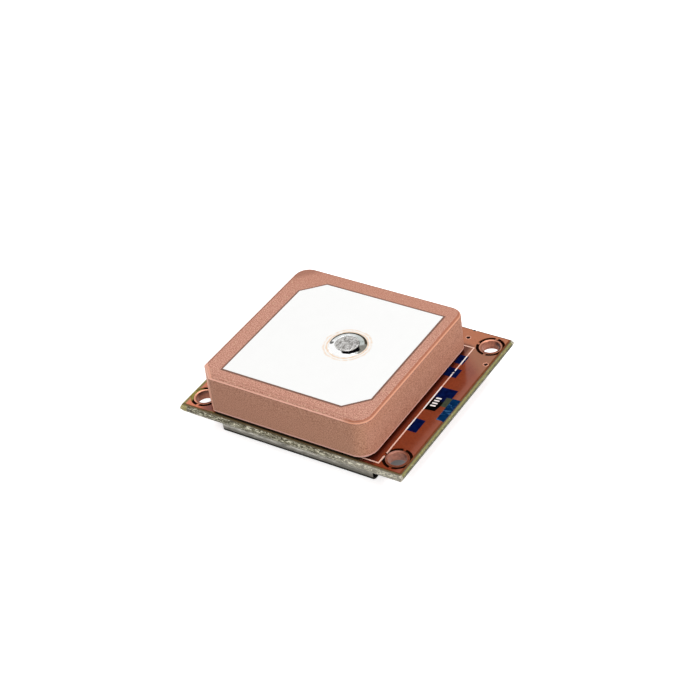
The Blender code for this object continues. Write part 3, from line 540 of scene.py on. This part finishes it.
# Painted shade: the upper far side of the walls in the right and left holes is darker.
far_wall_shade = (x * 0.8 + y * 0.6 - 13.22).rise(0.45, 0.75) * z.rise(1.8, 2.2)
left_wall_shade = (y * 0.81 - x * 0.59 + 0.9).rise(0.35, 0.7) * z.rise(1.9, 2.25)
far_wall_shade = far_wall_shade.most(left_wall_shade * x.rise(0, -1) * y.rise(0, -1) * 0.7)
wall = far_wall_shade.color(wall, paint(70, 38, 28))
copper.vary("Base Color", to_hole.rise(0.94, 0.89).color(pad, wall))
copper.vary("Metallic", 0.55 - at_front * 0.35)
copper.bump(copper.place.noise(11, 3), 0.008 * mm)


def turned(axis_x, axis_y, radius, height, turn):
    """Grid of points round an upright axis: at each angle of turn, the axis plus the radius times
    the angle's cosine and sine, at the height. Rows follow the section and columns the turn."""
    return np.stack([axis_x + radius * np.cos(turn), axis_y + radius * np.sin(turn),
                     height + 0 * turn], axis=-1)


def plated_hole(name, axis_x, axis_y):
    """Closed section turned about the hole's axis: straight inside, and round where the pad
    turns into the barrel."""
    bore, barrel_out, pad_out = 0.83 * mm, 0.88 * mm, 1.08 * mm
    low, high = board_low.z - 0.01 * mm, board_high.z + 0.01 * mm
    foil, ease, lip = 0.05 * mm, 0.07 * mm, 0.015 * mm
    bend = np.linspace(0, np.pi / 2, 7)
    far, near = ease * (1 - np.sin(bend)), ease * (1 - np.cos(bend))
    rim = np.column_stack([bore + far, high + foil - near])
    foot = np.column_stack([bore + near, low - foil + far])
    outer = [(pad_out - lip, low - foil), (pad_out, low - foil + lip), (pad_out, low),
             (barrel_out, low), (barrel_out, high), (pad_out, high),
             (pad_out, high + foil - lip), (pad_out - lip, high + foil)]
    section = np.concatenate([rim[::-1], foot, outer])
    angles = np.linspace(0, 2 * np.pi, 72, endpoint=False)
    mesh = surface(name, turned(axis_x, axis_y, section[:, :1], section[:, 1:], angles), ring=True)
    mesh.set_sharp_from_angle(angle=0.7)
    return mesh


for side, sign_x, sign_y in (("left", -1, -1), ("front", 1, -1), ("right", 1, 1),
                             ("back", -1, 1)):
    name = f"copper_hole_{side}"
    add_piece(name, plated_hole(name, sign_x * hole_x * mm, sign_y * hole_y * mm), copper,
              "bare_copper", f"plated_hole_{side}")

# Vias: drilled through the lands and by the right edge, and plated, with a raised rim. A dark plug
# a little below the surface stands for the shade inside them and inside the half hole in the back
# edge: painted shade.
land_pitch, land_row = 2.54, 8.89
via_spots = [(i * land_pitch, land_row) for i in range(-3, 4)] + [(10.98, 6.0)]


def turned_rings(name, spots, section):
    """Closed sections turned about several axes, with the rings joined in one mesh; places and
    section are in millimetres."""
    angles = np.linspace(0, 2 * np.pi, 28, endpoint=False)
    radius, height = section[:, :1] * mm, section[:, 1:] * mm
    joined = bmesh.new()
    for axis_x, axis_y in spots:
        ring = surface(name, turned(axis_x * mm, axis_y * mm, radius, height, angles), ring=True)
        joined.from_mesh(ring)
        bpy.data.meshes.remove(ring)
    mesh = bpy.data.meshes.new(name)
    joined.to_mesh(mesh)
    joined.free()
    mesh.shade_smooth()
    return mesh


rim_section = np.array([(0.185, 2.36), (0.185, 2.422), (0.20, 2.431), (0.25, 2.432),
                        (0.285, 2.425), (0.29, 2.40), (0.26, 2.37)])
rim_finish = Finish("via_rim", paint(206, 140, 112), Roughness=0.3, Metallic=0.3)
rim_cloud = rim_finish.place.noise(4, 2)
rim_finish.vary("Base Color", rim_cloud.color(paint(190, 120, 92), paint(220, 158, 132)))
add_piece("via_rims", turned_rings("via_rims", via_spots, rim_section), rim_finish, "bare_copper")
plug_section = np.array([(0.0, 1.54), (0.0, 2.33), (0.12, 2.335), (0.205, 2.36), (0.205, 1.53),
                         (0.12, 1.535)])
# Painted shade: near black, standing for the depth of the holes.
shade_plug_finish = Finish("via_shade_plug", paint(24, 12, 10), Roughness=0.6, Specular_IOR_Level=0.1)
plug_cloud = shade_plug_finish.place.noise(6, 2)
shade_plug_finish.vary("Base Color", plug_cloud.color(paint(14, 8, 8), paint(34, 18, 14)))
plug_spots = via_spots + [(notch_x, 10.02)]
add_piece("via_shade_plugs", turned_rings("via_shade_plugs", plug_spots, plug_section), shade_plug_finish,
          "bare_copper")

# Solder lands on the underside, where the host's wires go: copper under a coat of solder that
# froze level, with a faint ripple.
tinned = Finish("tinned_copper", paint(214, 212, 204), Metallic=1.0, Roughness=0.3)
ripple = tinned.place.noise(2.6, 3)
tinned.vary("Roughness", ripple * 0.3 + 0.14)
tinned.vary("Base Color", ripple.color(paint(188, 186, 178), paint(228, 227, 222)))
tinned.bump(ripple, 0.02 * mm)
for i in range(1, 8):
    cover(f"solder_land_{i}", tinned)

# Receiver chip, memory, amplifier and regulator: black moulding compound round their terminals.
# A terminal shows where the package stands out at its foot, or as a formed lead.
moulded = Finish("black_mould", paint(40, 40, 42), Roughness=0.55)
speck = moulded.place.noise(30, 2)
moulded.vary("Base Color", speck.color(paint(30, 30, 32), paint(54, 54, 56)))
moulded.vary("Roughness", speck * 0.25 + 0.42)
moulded.bump(speck, 0.004 * mm)
for node in ("gnss_receiver", "flash_memory", "low_noise_amplifier", "voltage_regulator"):
    cover(node, moulded)

# Filter, reference clock and crystal: pale ceramic cups, soldered by pads on their foot, each
# closed by a gold-plated lid that is welded on.
lidded = Finish("lidded_ceramic", paint(214, 196, 140), Metallic=0.8, Roughness=0.32)
brushed = lidded.place.scaled(2, 30, 2).noise(1, 2)
lidded.vary("Base Color", brushed.color(paint(196, 172, 112), paint(228, 212, 160)))
lidded.vary("Roughness", brushed * 0.25 + 0.2)
for node in ("saw_filter", "temperature_compensated_oscillator", "clock_crystal"):
    cover(node, lidded)

# Choke, reservoir capacitor, small capacitors, inductors and resistors: pressed ferrite, yellow
# moulding, fired multilayer ceramic and glazed film, each with tinned ends.
ferrite = Finish("ferrite", paint(58, 58, 60), Roughness=0.7)
ferrite.vary("Base Color", ferrite.place.noise(24, 3).color(paint(44, 44, 46), paint(84, 84, 86)))
ferrite.bump(ferrite.place.noise(24, 3), 0.01 * mm)
cover("power_inductor", ferrite)
yellow = Finish("tantalum_mould", paint(222, 172, 62), Roughness=0.5)
yellow.vary("Base Color", yellow.place.noise(6, 2).color(paint(208, 154, 46), paint(232, 186, 84)))
cover("reservoir_capacitor", yellow)
fired = Finish("multilayer_ceramic", paint(184, 152, 118), Roughness=0.45)
fired.vary("Base Color", fired.place.noise(9, 2).color(paint(166, 132, 98), paint(200, 170, 138)))
for i in range(1, 10):
    cover(f"capacitor_{i}", fired)
glazed = Finish("thick_film", paint(48, 50, 56), Roughness=0.3)
glazed.vary("Base Color", glazed.place.noise(9, 2).color(paint(34, 36, 42), paint(66, 68, 76)))
for i in range(1, 6):
    cover(f"resistor_{i}", glazed)
for i in range(1, 3):
    cover(f"matching_inductor_{i}", glazed)

# Shield can: tinned steel sheet of 0.2 mm drawn into a shallow tray with rounded edges, soldered
# by its rim, with cut-outs at the rim for the tracks. The sheet's rolling lines run lengthwise.
can_low, can_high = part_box("shield_can")


def rounded_path(length, width, radii, spacing, cut=None):
    """Points round a rectangle about its middle, anticlockwise from the +X +Y corner, with arcs
    at the corners; cut names a corner that is a straight cut instead. Straight sides are split
    into even steps no longer than spacing."""
    points = []
    turns = [(1, 1), (-1, 1), (-1, -1), (1, -1)]
    for quarter, ((sx, sy), radius) in enumerate(zip(turns, radii)):
        middle = np.array([sx * (length / 2 - radius), sy * (width / 2 - radius)])
        count = 1 if quarter == cut else 18
        angle = np.pi / 2 * (quarter + np.linspace(0, 1, count + 1))
        points.append(middle + radius * np.stack([np.cos(angle), np.sin(angle)], axis=-1))
    starts = np.concatenate(points)
    sides = np.roll(starts, -1, axis=0) - starts
    steps = np.maximum(1, np.ceil(np.linalg.norm(sides, axis=1) / spacing)).astype(int)
    count = np.arange(steps.sum()) - np.repeat(np.cumsum(steps) - steps, steps)
    share = (count / np.repeat(steps, steps))[:, None]
    return np.repeat(starts, steps, axis=0) + np.repeat(sides, steps, axis=0) * share


def carried(path, section, middle):
    """Grid of points about a middle: one row for each inset and height of the section, which is
    the path moved in along the mitre of its neighbouring sides, at that height."""
    inset, height = np.array(section).T[:, :, None, None]
    step = np.roll(path, -1, axis=0) - path
    step = step / np.linalg.norm(step, axis=1)[:, None]
    out = np.stack([step[:, 1], -step[:, 0]], axis=-1)
    before = np.roll(out, 1, axis=0)
    mitre = (out + before) / (1 + np.sum(out * before, axis=1))[:, None]
    flat = middle + path - mitre * inset
    return np.concatenate([flat, height + 0 * flat[..., :1]], axis=-1)


def drawn_in(row, middle, shares):
    """Rows that close a row towards its middle: each keeps a share of the distance to it."""
    flat = middle + (row[:, :2] - middle) * np.array(shares)[:, None, None]
    return np.concatenate([flat, row[:, 2:] + 0 * flat[..., :1]], axis=-1)


def drawn_can():
    """The can's outer skin: the plan path is carried down a section of wall, bend and flat base,
    and the base closes to its middle. The section comes in by less than the corners' radius, so
    the path never folds. Cells in the cut-outs are left out, and Solidify gives the sheet its
    thickness inwards."""
    length, width = can_high.x - can_low.x, can_high.y - can_low.y
    middle = np.array([(can_high.x + can_low.x) / 2, (can_high.y + can_low.y) / 2])
    path = rounded_path(length, width, [0.34 * mm] * 4, 0.2 * mm)
    top, draft, bend_radius = can_high.z, 0.07 * mm, 0.22 * mm
    sill, half_cut, skin = 0.36 * mm, 0.8 * mm, 0.3 * mm
    wall = [(draft * share, top - (top - sill) * share) for share in (0, 0.33, 0.66, 1)]
    angle = np.linspace(0, np.pi / 2, 8)[1:]
    bend = np.column_stack([draft + bend_radius * (1 - np.cos(angle)),
                            bend_radius * (1 - np.sin(angle))])
    side = carried(path, np.concatenate([wall, bend]), middle)
    base = drawn_in(side[-1], middle, np.linspace(1, 0, 12)[1:])

    def cut_out(spots):
        across, along, height = spots.T
        right = (across > can_high.x - skin) & (abs(along - can_low.y - 1.3 * mm) < half_cut)
        back = (along > can_high.y - skin) & (abs(abs(across) - 5.08 * mm) < half_cut)
        return (height > sill) & (right | back)

    return surface("drawn_can", np.concatenate([side, base]), left_out=cut_out)


steel = Finish("tinned_steel", paint(168, 167, 158), Metallic=0.9, Roughness=0.34,
               Specular_IOR_Level=0.0)
x, y, z = steel.place.axes()
rolled = steel.place.scaled(1.3, 9, 7).noise(1, 4, 0.65)
rolled_side = steel.place.scaled(9, 1.3, 7).noise(1, 4, 0.65)
ends = abs(x - 0.17).rise(7.95, 8.02)
grain = rolled * (1 - ends) + rolled_side * ends
smudge = steel.place.noise(0.7, 3, 0.6)
shade = (grain * 3.6 - 1.3).color(paint(92, 90, 82), paint(206, 203, 194))
shade = (smudge * 0.5).color(shade, paint(150, 146, 136))
# Painted shadow: a darker band under the board's edge; below it a painted highlight line.
shade = (z.band(1.2, 0.08, 0.06) * 0.5).color(shade, paint(104, 100, 92))
shade = (z.band(0.95, 0.05, 0.05) * 0.6).color(shade, paint(214, 210, 202))
# Painted shade: the walls darken towards the foot, and the foot is darkest and hardly metallic,
# where the shaded floor is mirrored. Between them the tone also grows darker towards the +X end.
near_wall = abs(x).most(abs(y + 1.16) - 0.46).rise(7.6, 7.8)
low_wall_shade = z.rise(0.80, 0.45) * near_wall
shade = (low_wall_shade * 0.75).color(shade, paint(84, 80, 74))
shade = (x.rise(1.0, 7.0) * 0.6).color(shade, paint(104, 100, 92))
foot = z.rise(0.40, 0.28) * near_wall
shade = (foot * 0.85).color(shade, paint(54, 53, 49))
# Painted shadow: the +X end wall near its front corner, above the foot and deep under the board,
# is black and not metallic.
end_wall_shadow = x.rise(8.08, 8.13) * y.rise(-9.0, -9.1) * z.rise(0.26, 0.34)
steel.vary("Base Color", end_wall_shadow.color(shade, paint(8, 8, 8)))
steel.vary("Metallic", 0.9 - end_wall_shadow.most(foot * 0.9) * 0.9)
steel.vary("Roughness", grain * 0.22 + smudge * 0.16 + 0.2)
steel.bump(grain, 0.004 * mm)
can = add_piece("drawn_can", drawn_can(), steel, "tinned_steel", "shield_can")
sheet = can.modifiers.new("sheet", "SOLIDIFY")
sheet.thickness = 0.2 * mm
sheet.offset = -1.0

# Tape that holds the antenna, and the fired silver on the ceramic's lower face: both show only as
# a dark line under the ceramic.
tape = Finish("tape", paint(46, 34, 30), Roughness=0.85)
tape.vary("Base Color", tape.place.noise(5, 3).color(paint(30, 20, 18), paint(62, 46, 40)))
cover("antenna_tape", tape)
lower_silver = Finish("lower_silver", paint(206, 204, 198), Roughness=0.5)
fired_cloud = lower_silver.place.noise(5, 3)
lower_silver.vary("Base Color", fired_cloud.color(paint(190, 186, 176), paint(222, 220, 214)))
cover("ground_electrode", lower_silver)

# Ceramic patch: pressed and fired dielectric, salmon pink, matt and finely speckled, with broken
# arrises. Three of its corners are round and the left one is cut.
patch_low, patch_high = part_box("ceramic_patch")


def eased(section, radius, steps=5):
    """A section with each inner corner rounded: both sides are cut back from the corner c by the
    radius, to s and e, and joined by the curve s(1 - t)^2 + 2ct(1 - t) + et^2."""
    section = np.array(section)
    corner = section[1:-1]
    back, on = section[:-2] - corner, section[2:] - corner
    start = corner + back * np.minimum(0.45, radius / np.linalg.norm(back, axis=1))[:, None]
    end = corner + on * np.minimum(0.45, radius / np.linalg.norm(on, axis=1))[:, None]
    share = np.linspace(0, 1, steps)[:, None, None]
    bends = start * (1 - share) ** 2 + 2 * corner * share * (1 - share) + end * share**2
    bends = bends.transpose(1, 0, 2).reshape(-1, 2)
    return np.concatenate([section[:1], bends, section[-1:]])


def fired_block():
    """The plan path carried up a section of lower arris, side, chamfer and top, closed to its
    middle above and below."""
    length, width = patch_high.x - patch_low.x, patch_high.y - patch_low.y
    middle = np.array([(patch_high.x + patch_low.x) / 2, (patch_high.y + patch_low.y) / 2])
    radii = np.array([1.3, 1.6, 1.5, 1.65]) * mm
    path = rounded_path(length, width, radii, 0.45 * mm, cut=2)
    low, high = patch_low.z, patch_high.z
    section = [(0.9 * mm, low), (0.12 * mm, low), (0.0, low + 0.12 * mm), (0.0, low + 1.4 * mm),
               (0.04 * mm, high - 0.28 * mm), (0.30 * mm, high), (0.9 * mm, high)]
    side = carried(path, eased(section, 0.045 * mm), middle)
    shares = [0.66, 0.33, 0.0]
    return surface("fired_block", np.concatenate([
        drawn_in(side[0], middle, shares[::-1]), side, drawn_in(side[-1], middle, shares)]))


ceramic = Finish("ceramic", paint(206, 150, 130), Roughness=0.62)
x, y, z = ceramic.place.axes()
px = x - (patch_high.x + patch_low.x) / 2 / mm
py = y - (patch_high.y + patch_low.y) / 2 / mm
speckle = ceramic.place.noise(10.5, 2, 0.7)
fleck = ceramic.place.noise(5.0, 2, 0.6)
cloud = ceramic.place.noise(0.5, 3)
ground_face = (speckle * 4.8 - 1.9).color(paint(164, 99, 77), paint(224, 170, 149))
ground_face = fleck.rise(0.62, 0.70).color(ground_face, paint(222, 184, 152))
ground_face = (fleck.rise(0.36, 0.29) * 0.7).color(ground_face, paint(164, 102, 80))
# The top is darker along its left and back edges, a little along its front, and towards the back
# right corner.
darker_edges = (0 - px).rise(8.42, 8.50).most(py.rise(8.57, 8.68)) * 0.85
darker_edges = darker_edges.most((0 - py).band(8.5, 0.05, 0.05) * 0.35)
darker_edges = darker_edges.most((py - px).rise(14.6, 15.8) * 0.6)
ground_face = (py.rise(2.0, 9.0) * 0.45).color(ground_face, paint(184, 122, 96))
ground_face = darker_edges.color(ground_face, paint(146, 92, 70))
to_left = px.rise(8.0, -8.0)
front_face = to_left.color(paint(180, 121, 90), paint(175, 112, 86))
right_face = z.rise(6.2, 4.6).color(paint(180, 111, 83), paint(184, 121, 100))
# Painted shade: the middle of the right side is darker than its ends.
right_face = (abs(py).rise(6.0, 2.0) * 0.3).color(right_face, paint(156, 96, 72))
side_face = px.rise(8.3, 8.75).color(front_face, right_face)
side_face = ((speckle * 5.0 - 2.0) * 0.7).color(side_face, paint(212, 160, 134))
side_face = (speckle.rise(0.50, 0.32) * 0.9).color(side_face, paint(140, 86, 64))
side_face = (cloud * 0.3).color(side_face, paint(200, 142, 114))
body = z.rise(6.24, 6.30).color(side_face, ground_face)
# Painted light: the side and chamfer at the cut corner are pale pink, as lit from the left.
toward_cut = 0 - px - py
lit_cut_side = toward_cut.rise(16.26, 16.32).most(toward_cut.rise(15.80, 15.95) * z.rise(6.26, 6.30))
to_front = ((0 - py).rise(8.62, 8.74) * px.rise(7.4, 6.0)).most(lit_cut_side)
body = (lit_cut_side * 0.8).color(body, paint(240, 174, 146))
# Painted shade and highlights on the edges: the upper part of the chamfer is darker except at the
# front and the cut corner, a painted highlight runs along its lower part, brighter at the front, a
# darker line follows where the side begins, and the foot of the block is painted pale pink as a
# highlight.
chamfer = z.rise(6.41, 6.45) * z.rise(6.575, 6.555) * (1 - to_front)
body = (chamfer * 0.85).color(body, paint(172, 102, 72))
arris = z.band(6.375, 0.035, 0.025)
body = (arris * 0.9).color(body, to_front.color(paint(226, 160, 128), paint(246, 188, 166)))
body = (z.band(6.295, 0.015, 0.02) * 0.6).color(body, paint(136, 88, 66))
body = (z.rise(2.87, 2.82) * 0.75).color(body, paint(246, 190, 176))
silver_low, silver_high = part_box("patch_electrode")
ex = x - (silver_high.x + silver_low.x) / 2 / mm
ey = y - (silver_high.y + silver_low.y) / 2 / mm
beside_x, beside_y = abs(ex) - 7.15, abs(ey) - 7.275
corner_cut = (abs(ex - ey) - 12.545) * 0.7071
outline_band = beside_x.most(beside_y).most(corner_cut).rise(0.23, 0.15) * z.rise(6.5, 6.55)
ceramic.vary("Base Color", (outline_band * 0.9).color(body, paint(104, 66, 48)))
ceramic.vary("Roughness", speckle * 0.25 + 0.5)
ceramic.bump(speckle * 0.6 + fleck * 0.4, 0.012 * mm)
add_piece("fired_block", fired_block(), ceramic, "ceramic", "ceramic_patch")

# Antenna electrode: silver paste printed square with two corners cut, and fired to a matt white
# film. Flux from soldering the feed pin has left a beige ring on it.
silver = Finish("fired_silver", paint(252, 252, 251), Roughness=0.55)
x, y, z = silver.place.axes()
waver = (silver.place.noise(1.1, 3) - 0.5) * 0.30 + (silver.place.noise(4, 2) - 0.5) * 0.14
from_feed = ((x - 1.06) ** 2 + (y + 1.1) ** 2) ** 0.5 + waver
patchy = (silver.place.noise(2.4, 3) * 2.6 - 0.6).rise(0.0, 1.0)
stain = from_feed.band(1.88, 0.05, 0.10) * (patchy * 0.5 + 0.4)
stain = stain.most(from_feed.band(2.18, 0.03, 0.12) * (patchy * 0.55 + 0.1))
film = silver.place.noise(0.8, 3).color(paint(251, 251, 250), paint(254, 254, 253))
silver.vary("Base Color", stain.color(film, paint(242, 212, 182)))
silver.vary("Roughness", silver.place.noise(16, 3) * 0.3 + 0.4)
silver.bump(silver.place.noise(16, 3), 0.003 * mm)
cover("patch_electrode", silver)

# Feed pin: a headed pin pushed down through the ceramic. Its head is dull grey and wrinkled where
# the tin on it has frozen.
pin_low, pin_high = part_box("feed_pin")
feed_x, feed_y = (pin_low.x + pin_high.x) / 2, (pin_low.y + pin_high.y) / 2


def feed_pin():
    """Section turned about the pin's axis, from the tail up to the shoulder, round the head's
    edge and over its crown, where two sizes of noise raise the wrinkles."""
    head, shank, crown = 1.12 * mm, 0.45 * mm, 0.97 * mm
    edge, seat = pin_high.z - 0.12 * mm, pin_high.z - 0.22 * mm
    stem = [(0.0, pin_low.z), (0.30 * mm, pin_low.z), (shank, pin_low.z + 0.15 * mm),
            (shank, seat), (head - 0.03 * mm, seat), (head, seat + 0.03 * mm)]
    angle = np.linspace(0, 1.35, 8)
    bend = np.column_stack([crown + 0.15 * mm * np.cos(angle), edge + 0.10 * mm * np.sin(angle)])
    top = np.linspace([crown, pin_high.z - 0.02 * mm], [0.0, pin_high.z - 0.02 * mm], 26)[1:]
    section = np.concatenate([stem, bend, top])
    angles = np.linspace(0, 2 * np.pi, 96, endpoint=False)
    radius, height = section[:, :1], section[:, 1:]
    across, along = radius * np.cos(angles), radius * np.sin(angles)
    folds = smooth_noise(across / (0.44 * mm) + 40, along / (0.24 * mm) + 40, 11)
    with_grain, over_grain = (across + along) / (0.24 * mm), (across - along) / (0.4 * mm)
    creases = smooth_noise(with_grain + 90, over_grain + 90, 12)
    on_top = np.clip((height - seat - 0.12 * mm) / (0.06 * mm), 0, 1)
    relief = (0.030 * (folds - 1) + 0.012 * (abs(creases - 0.5) * 2 - 1)) * mm * on_top
    height = height + relief + 0.02 * mm * on_top
    return surface("wrinkled_pin", turned(feed_x, feed_y, radius, height, angles))


pin = Finish("tinned_pin", paint(150, 149, 144), Metallic=0.6, Roughness=0.42)
dross = pin.place.scaled(5.0, 2.2, 3.0).noise(1.0, 2, 0.5, 0.9)
crease = abs(pin.place.scaled(3.6, 1.8, 3.0).noise(1.0, 1, 0.5, 1.2) - 0.5)
tone = (dross * 3.6 - 1.3).color(paint(128, 125, 121), paint(204, 202, 200))
tone = (crease.rise(0.030, 0.008) * 0.8).color(tone, paint(92, 88, 85))
x, y, z = pin.place.axes()
# Painted shade: the head is darker below its edge, where it meets the solder.
pin.vary("Base Color", z.rise(6.74, 6.70).color(tone, paint(70, 66, 60)))
pin.vary("Roughness", dross * 0.4 + 0.2)
pin.bump(dross, 0.02 * mm)
add_piece("wrinkled_pin", feed_pin(), pin, "tinned_pin", "feed_pin")

# Solder round the pin's head: bright, run out into a wide fillet on the electrode, uneven in
# width, with a dark line on it round the back, a painted highlight at the front and a painted
# black reflection against the head at the front right.


def solder_fillet():
    """Closed section turned about the pin: up the head's side, out along a hollow curve and back
    along the electrode; its width and its fullness change round the head."""
    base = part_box("feed_solder_top")[0].z
    turn = np.linspace(0, 2 * np.pi, 96, endpoint=False)
    inner = 1.125 * mm
    width = (0.62 + 0.05 * np.sin(turn + 0.6) + 0.03 * np.sin(3 * turn + 1.0)) * mm
    rise = (0.125 + 0.02 * np.cos(turn + 2.4)) * mm
    share = np.linspace(0, 1, 14)[:, None]
    full = 1.5 + 0.4 * np.sin(turn + 2.2)
    height = rise * (1 - share) ** full + 0.012 * mm * np.sin(np.pi * share) + 0.004 * mm
    radius = np.vstack([inner + width * share, inner + width, inner + 0 * width])
    height = base + np.vstack([height, 0 * width, 0 * width])
    return surface("solder_fillet", turned(feed_x, feed_y, radius, height, turn), ring=True)


solder = Finish("solder", paint(222, 224, 228), Metallic=0.95, Roughness=0.14,
                Specular_IOR_Level=0.0)
x, y, z = solder.place.axes()
sx, sy = x - feed_x / mm, y - feed_y / mm
from_pin = (sx**2 + sy**2) ** 0.5
flow = solder.place.noise(2.2, 3, 0.6, 0.8)
backward, sideways = sy * 0.81 - sx * 0.59, sx * 0.81 + sy * 0.59
forward, along = sx * 0.73 - sy * 0.68, sx * 0.68 + sy * 0.73
tone = (flow * 2.0 - 0.5).color(paint(196, 202, 200), paint(246, 247, 248))
mottled = sideways.rise(0.6, 1.1) * backward.rise(-0.7, -0.2) * (flow * 2.6 - 0.8)
tone = mottled.color(tone, paint(150, 160, 152))
# Painted highlight: the front of the fillet is white and smoother.
solder_highlight = (0 - sx * 0.41 - sy * 0.91).rise(0.35, 0.7)
tone = (solder_highlight * 0.9).color(tone, paint(255, 255, 255))
# Painted reflection: a grey fringe and a black pool against the head at the front right, both less
# metallic.
grey_reflection = forward.rise(0.5, 0.8) * along.rise(0.2, 0.7)
tone = (grey_reflection * 0.85).color(tone, paint(104, 100, 88))
rim = from_pin.rise(1.52, 1.58) * (backward + sideways * 0.31).rise(0.05, 0.25)
tone = (rim * 0.95).color(tone, paint(58, 48, 30))
dark_reflection = (from_pin - along * 0.10 + (flow - 0.5) * 0.2).rise(1.50, 1.40) * forward.rise(0.4, 0.6)
dark_reflection = dark_reflection * along.rise(-0.86, -0.70) * along.rise(0.98, 0.76)
tone = dark_reflection.color(tone, paint(8, 8, 9))
to_spot = ((sx + 1.39) ** 2 + (sy + 0.35) ** 2) ** 0.5 + (flow - 0.5) * 0.2
spot = to_spot.rise(0.25, 0.14)
solder.vary("Base Color", (spot * 0.9).color(tone, paint(58, 56, 50)))
solder.vary("Metallic", 0.95 - rim.most(dark_reflection).most(grey_reflection * 0.5) * 0.9)
solder.bump(flow * (1 - solder_highlight * 0.8), 0.03 * mm)
add_piece("solder_fillet", solder_fillet(), solder, "solder", "feed_solder_top")
cover("feed_solder_bottom", solder)
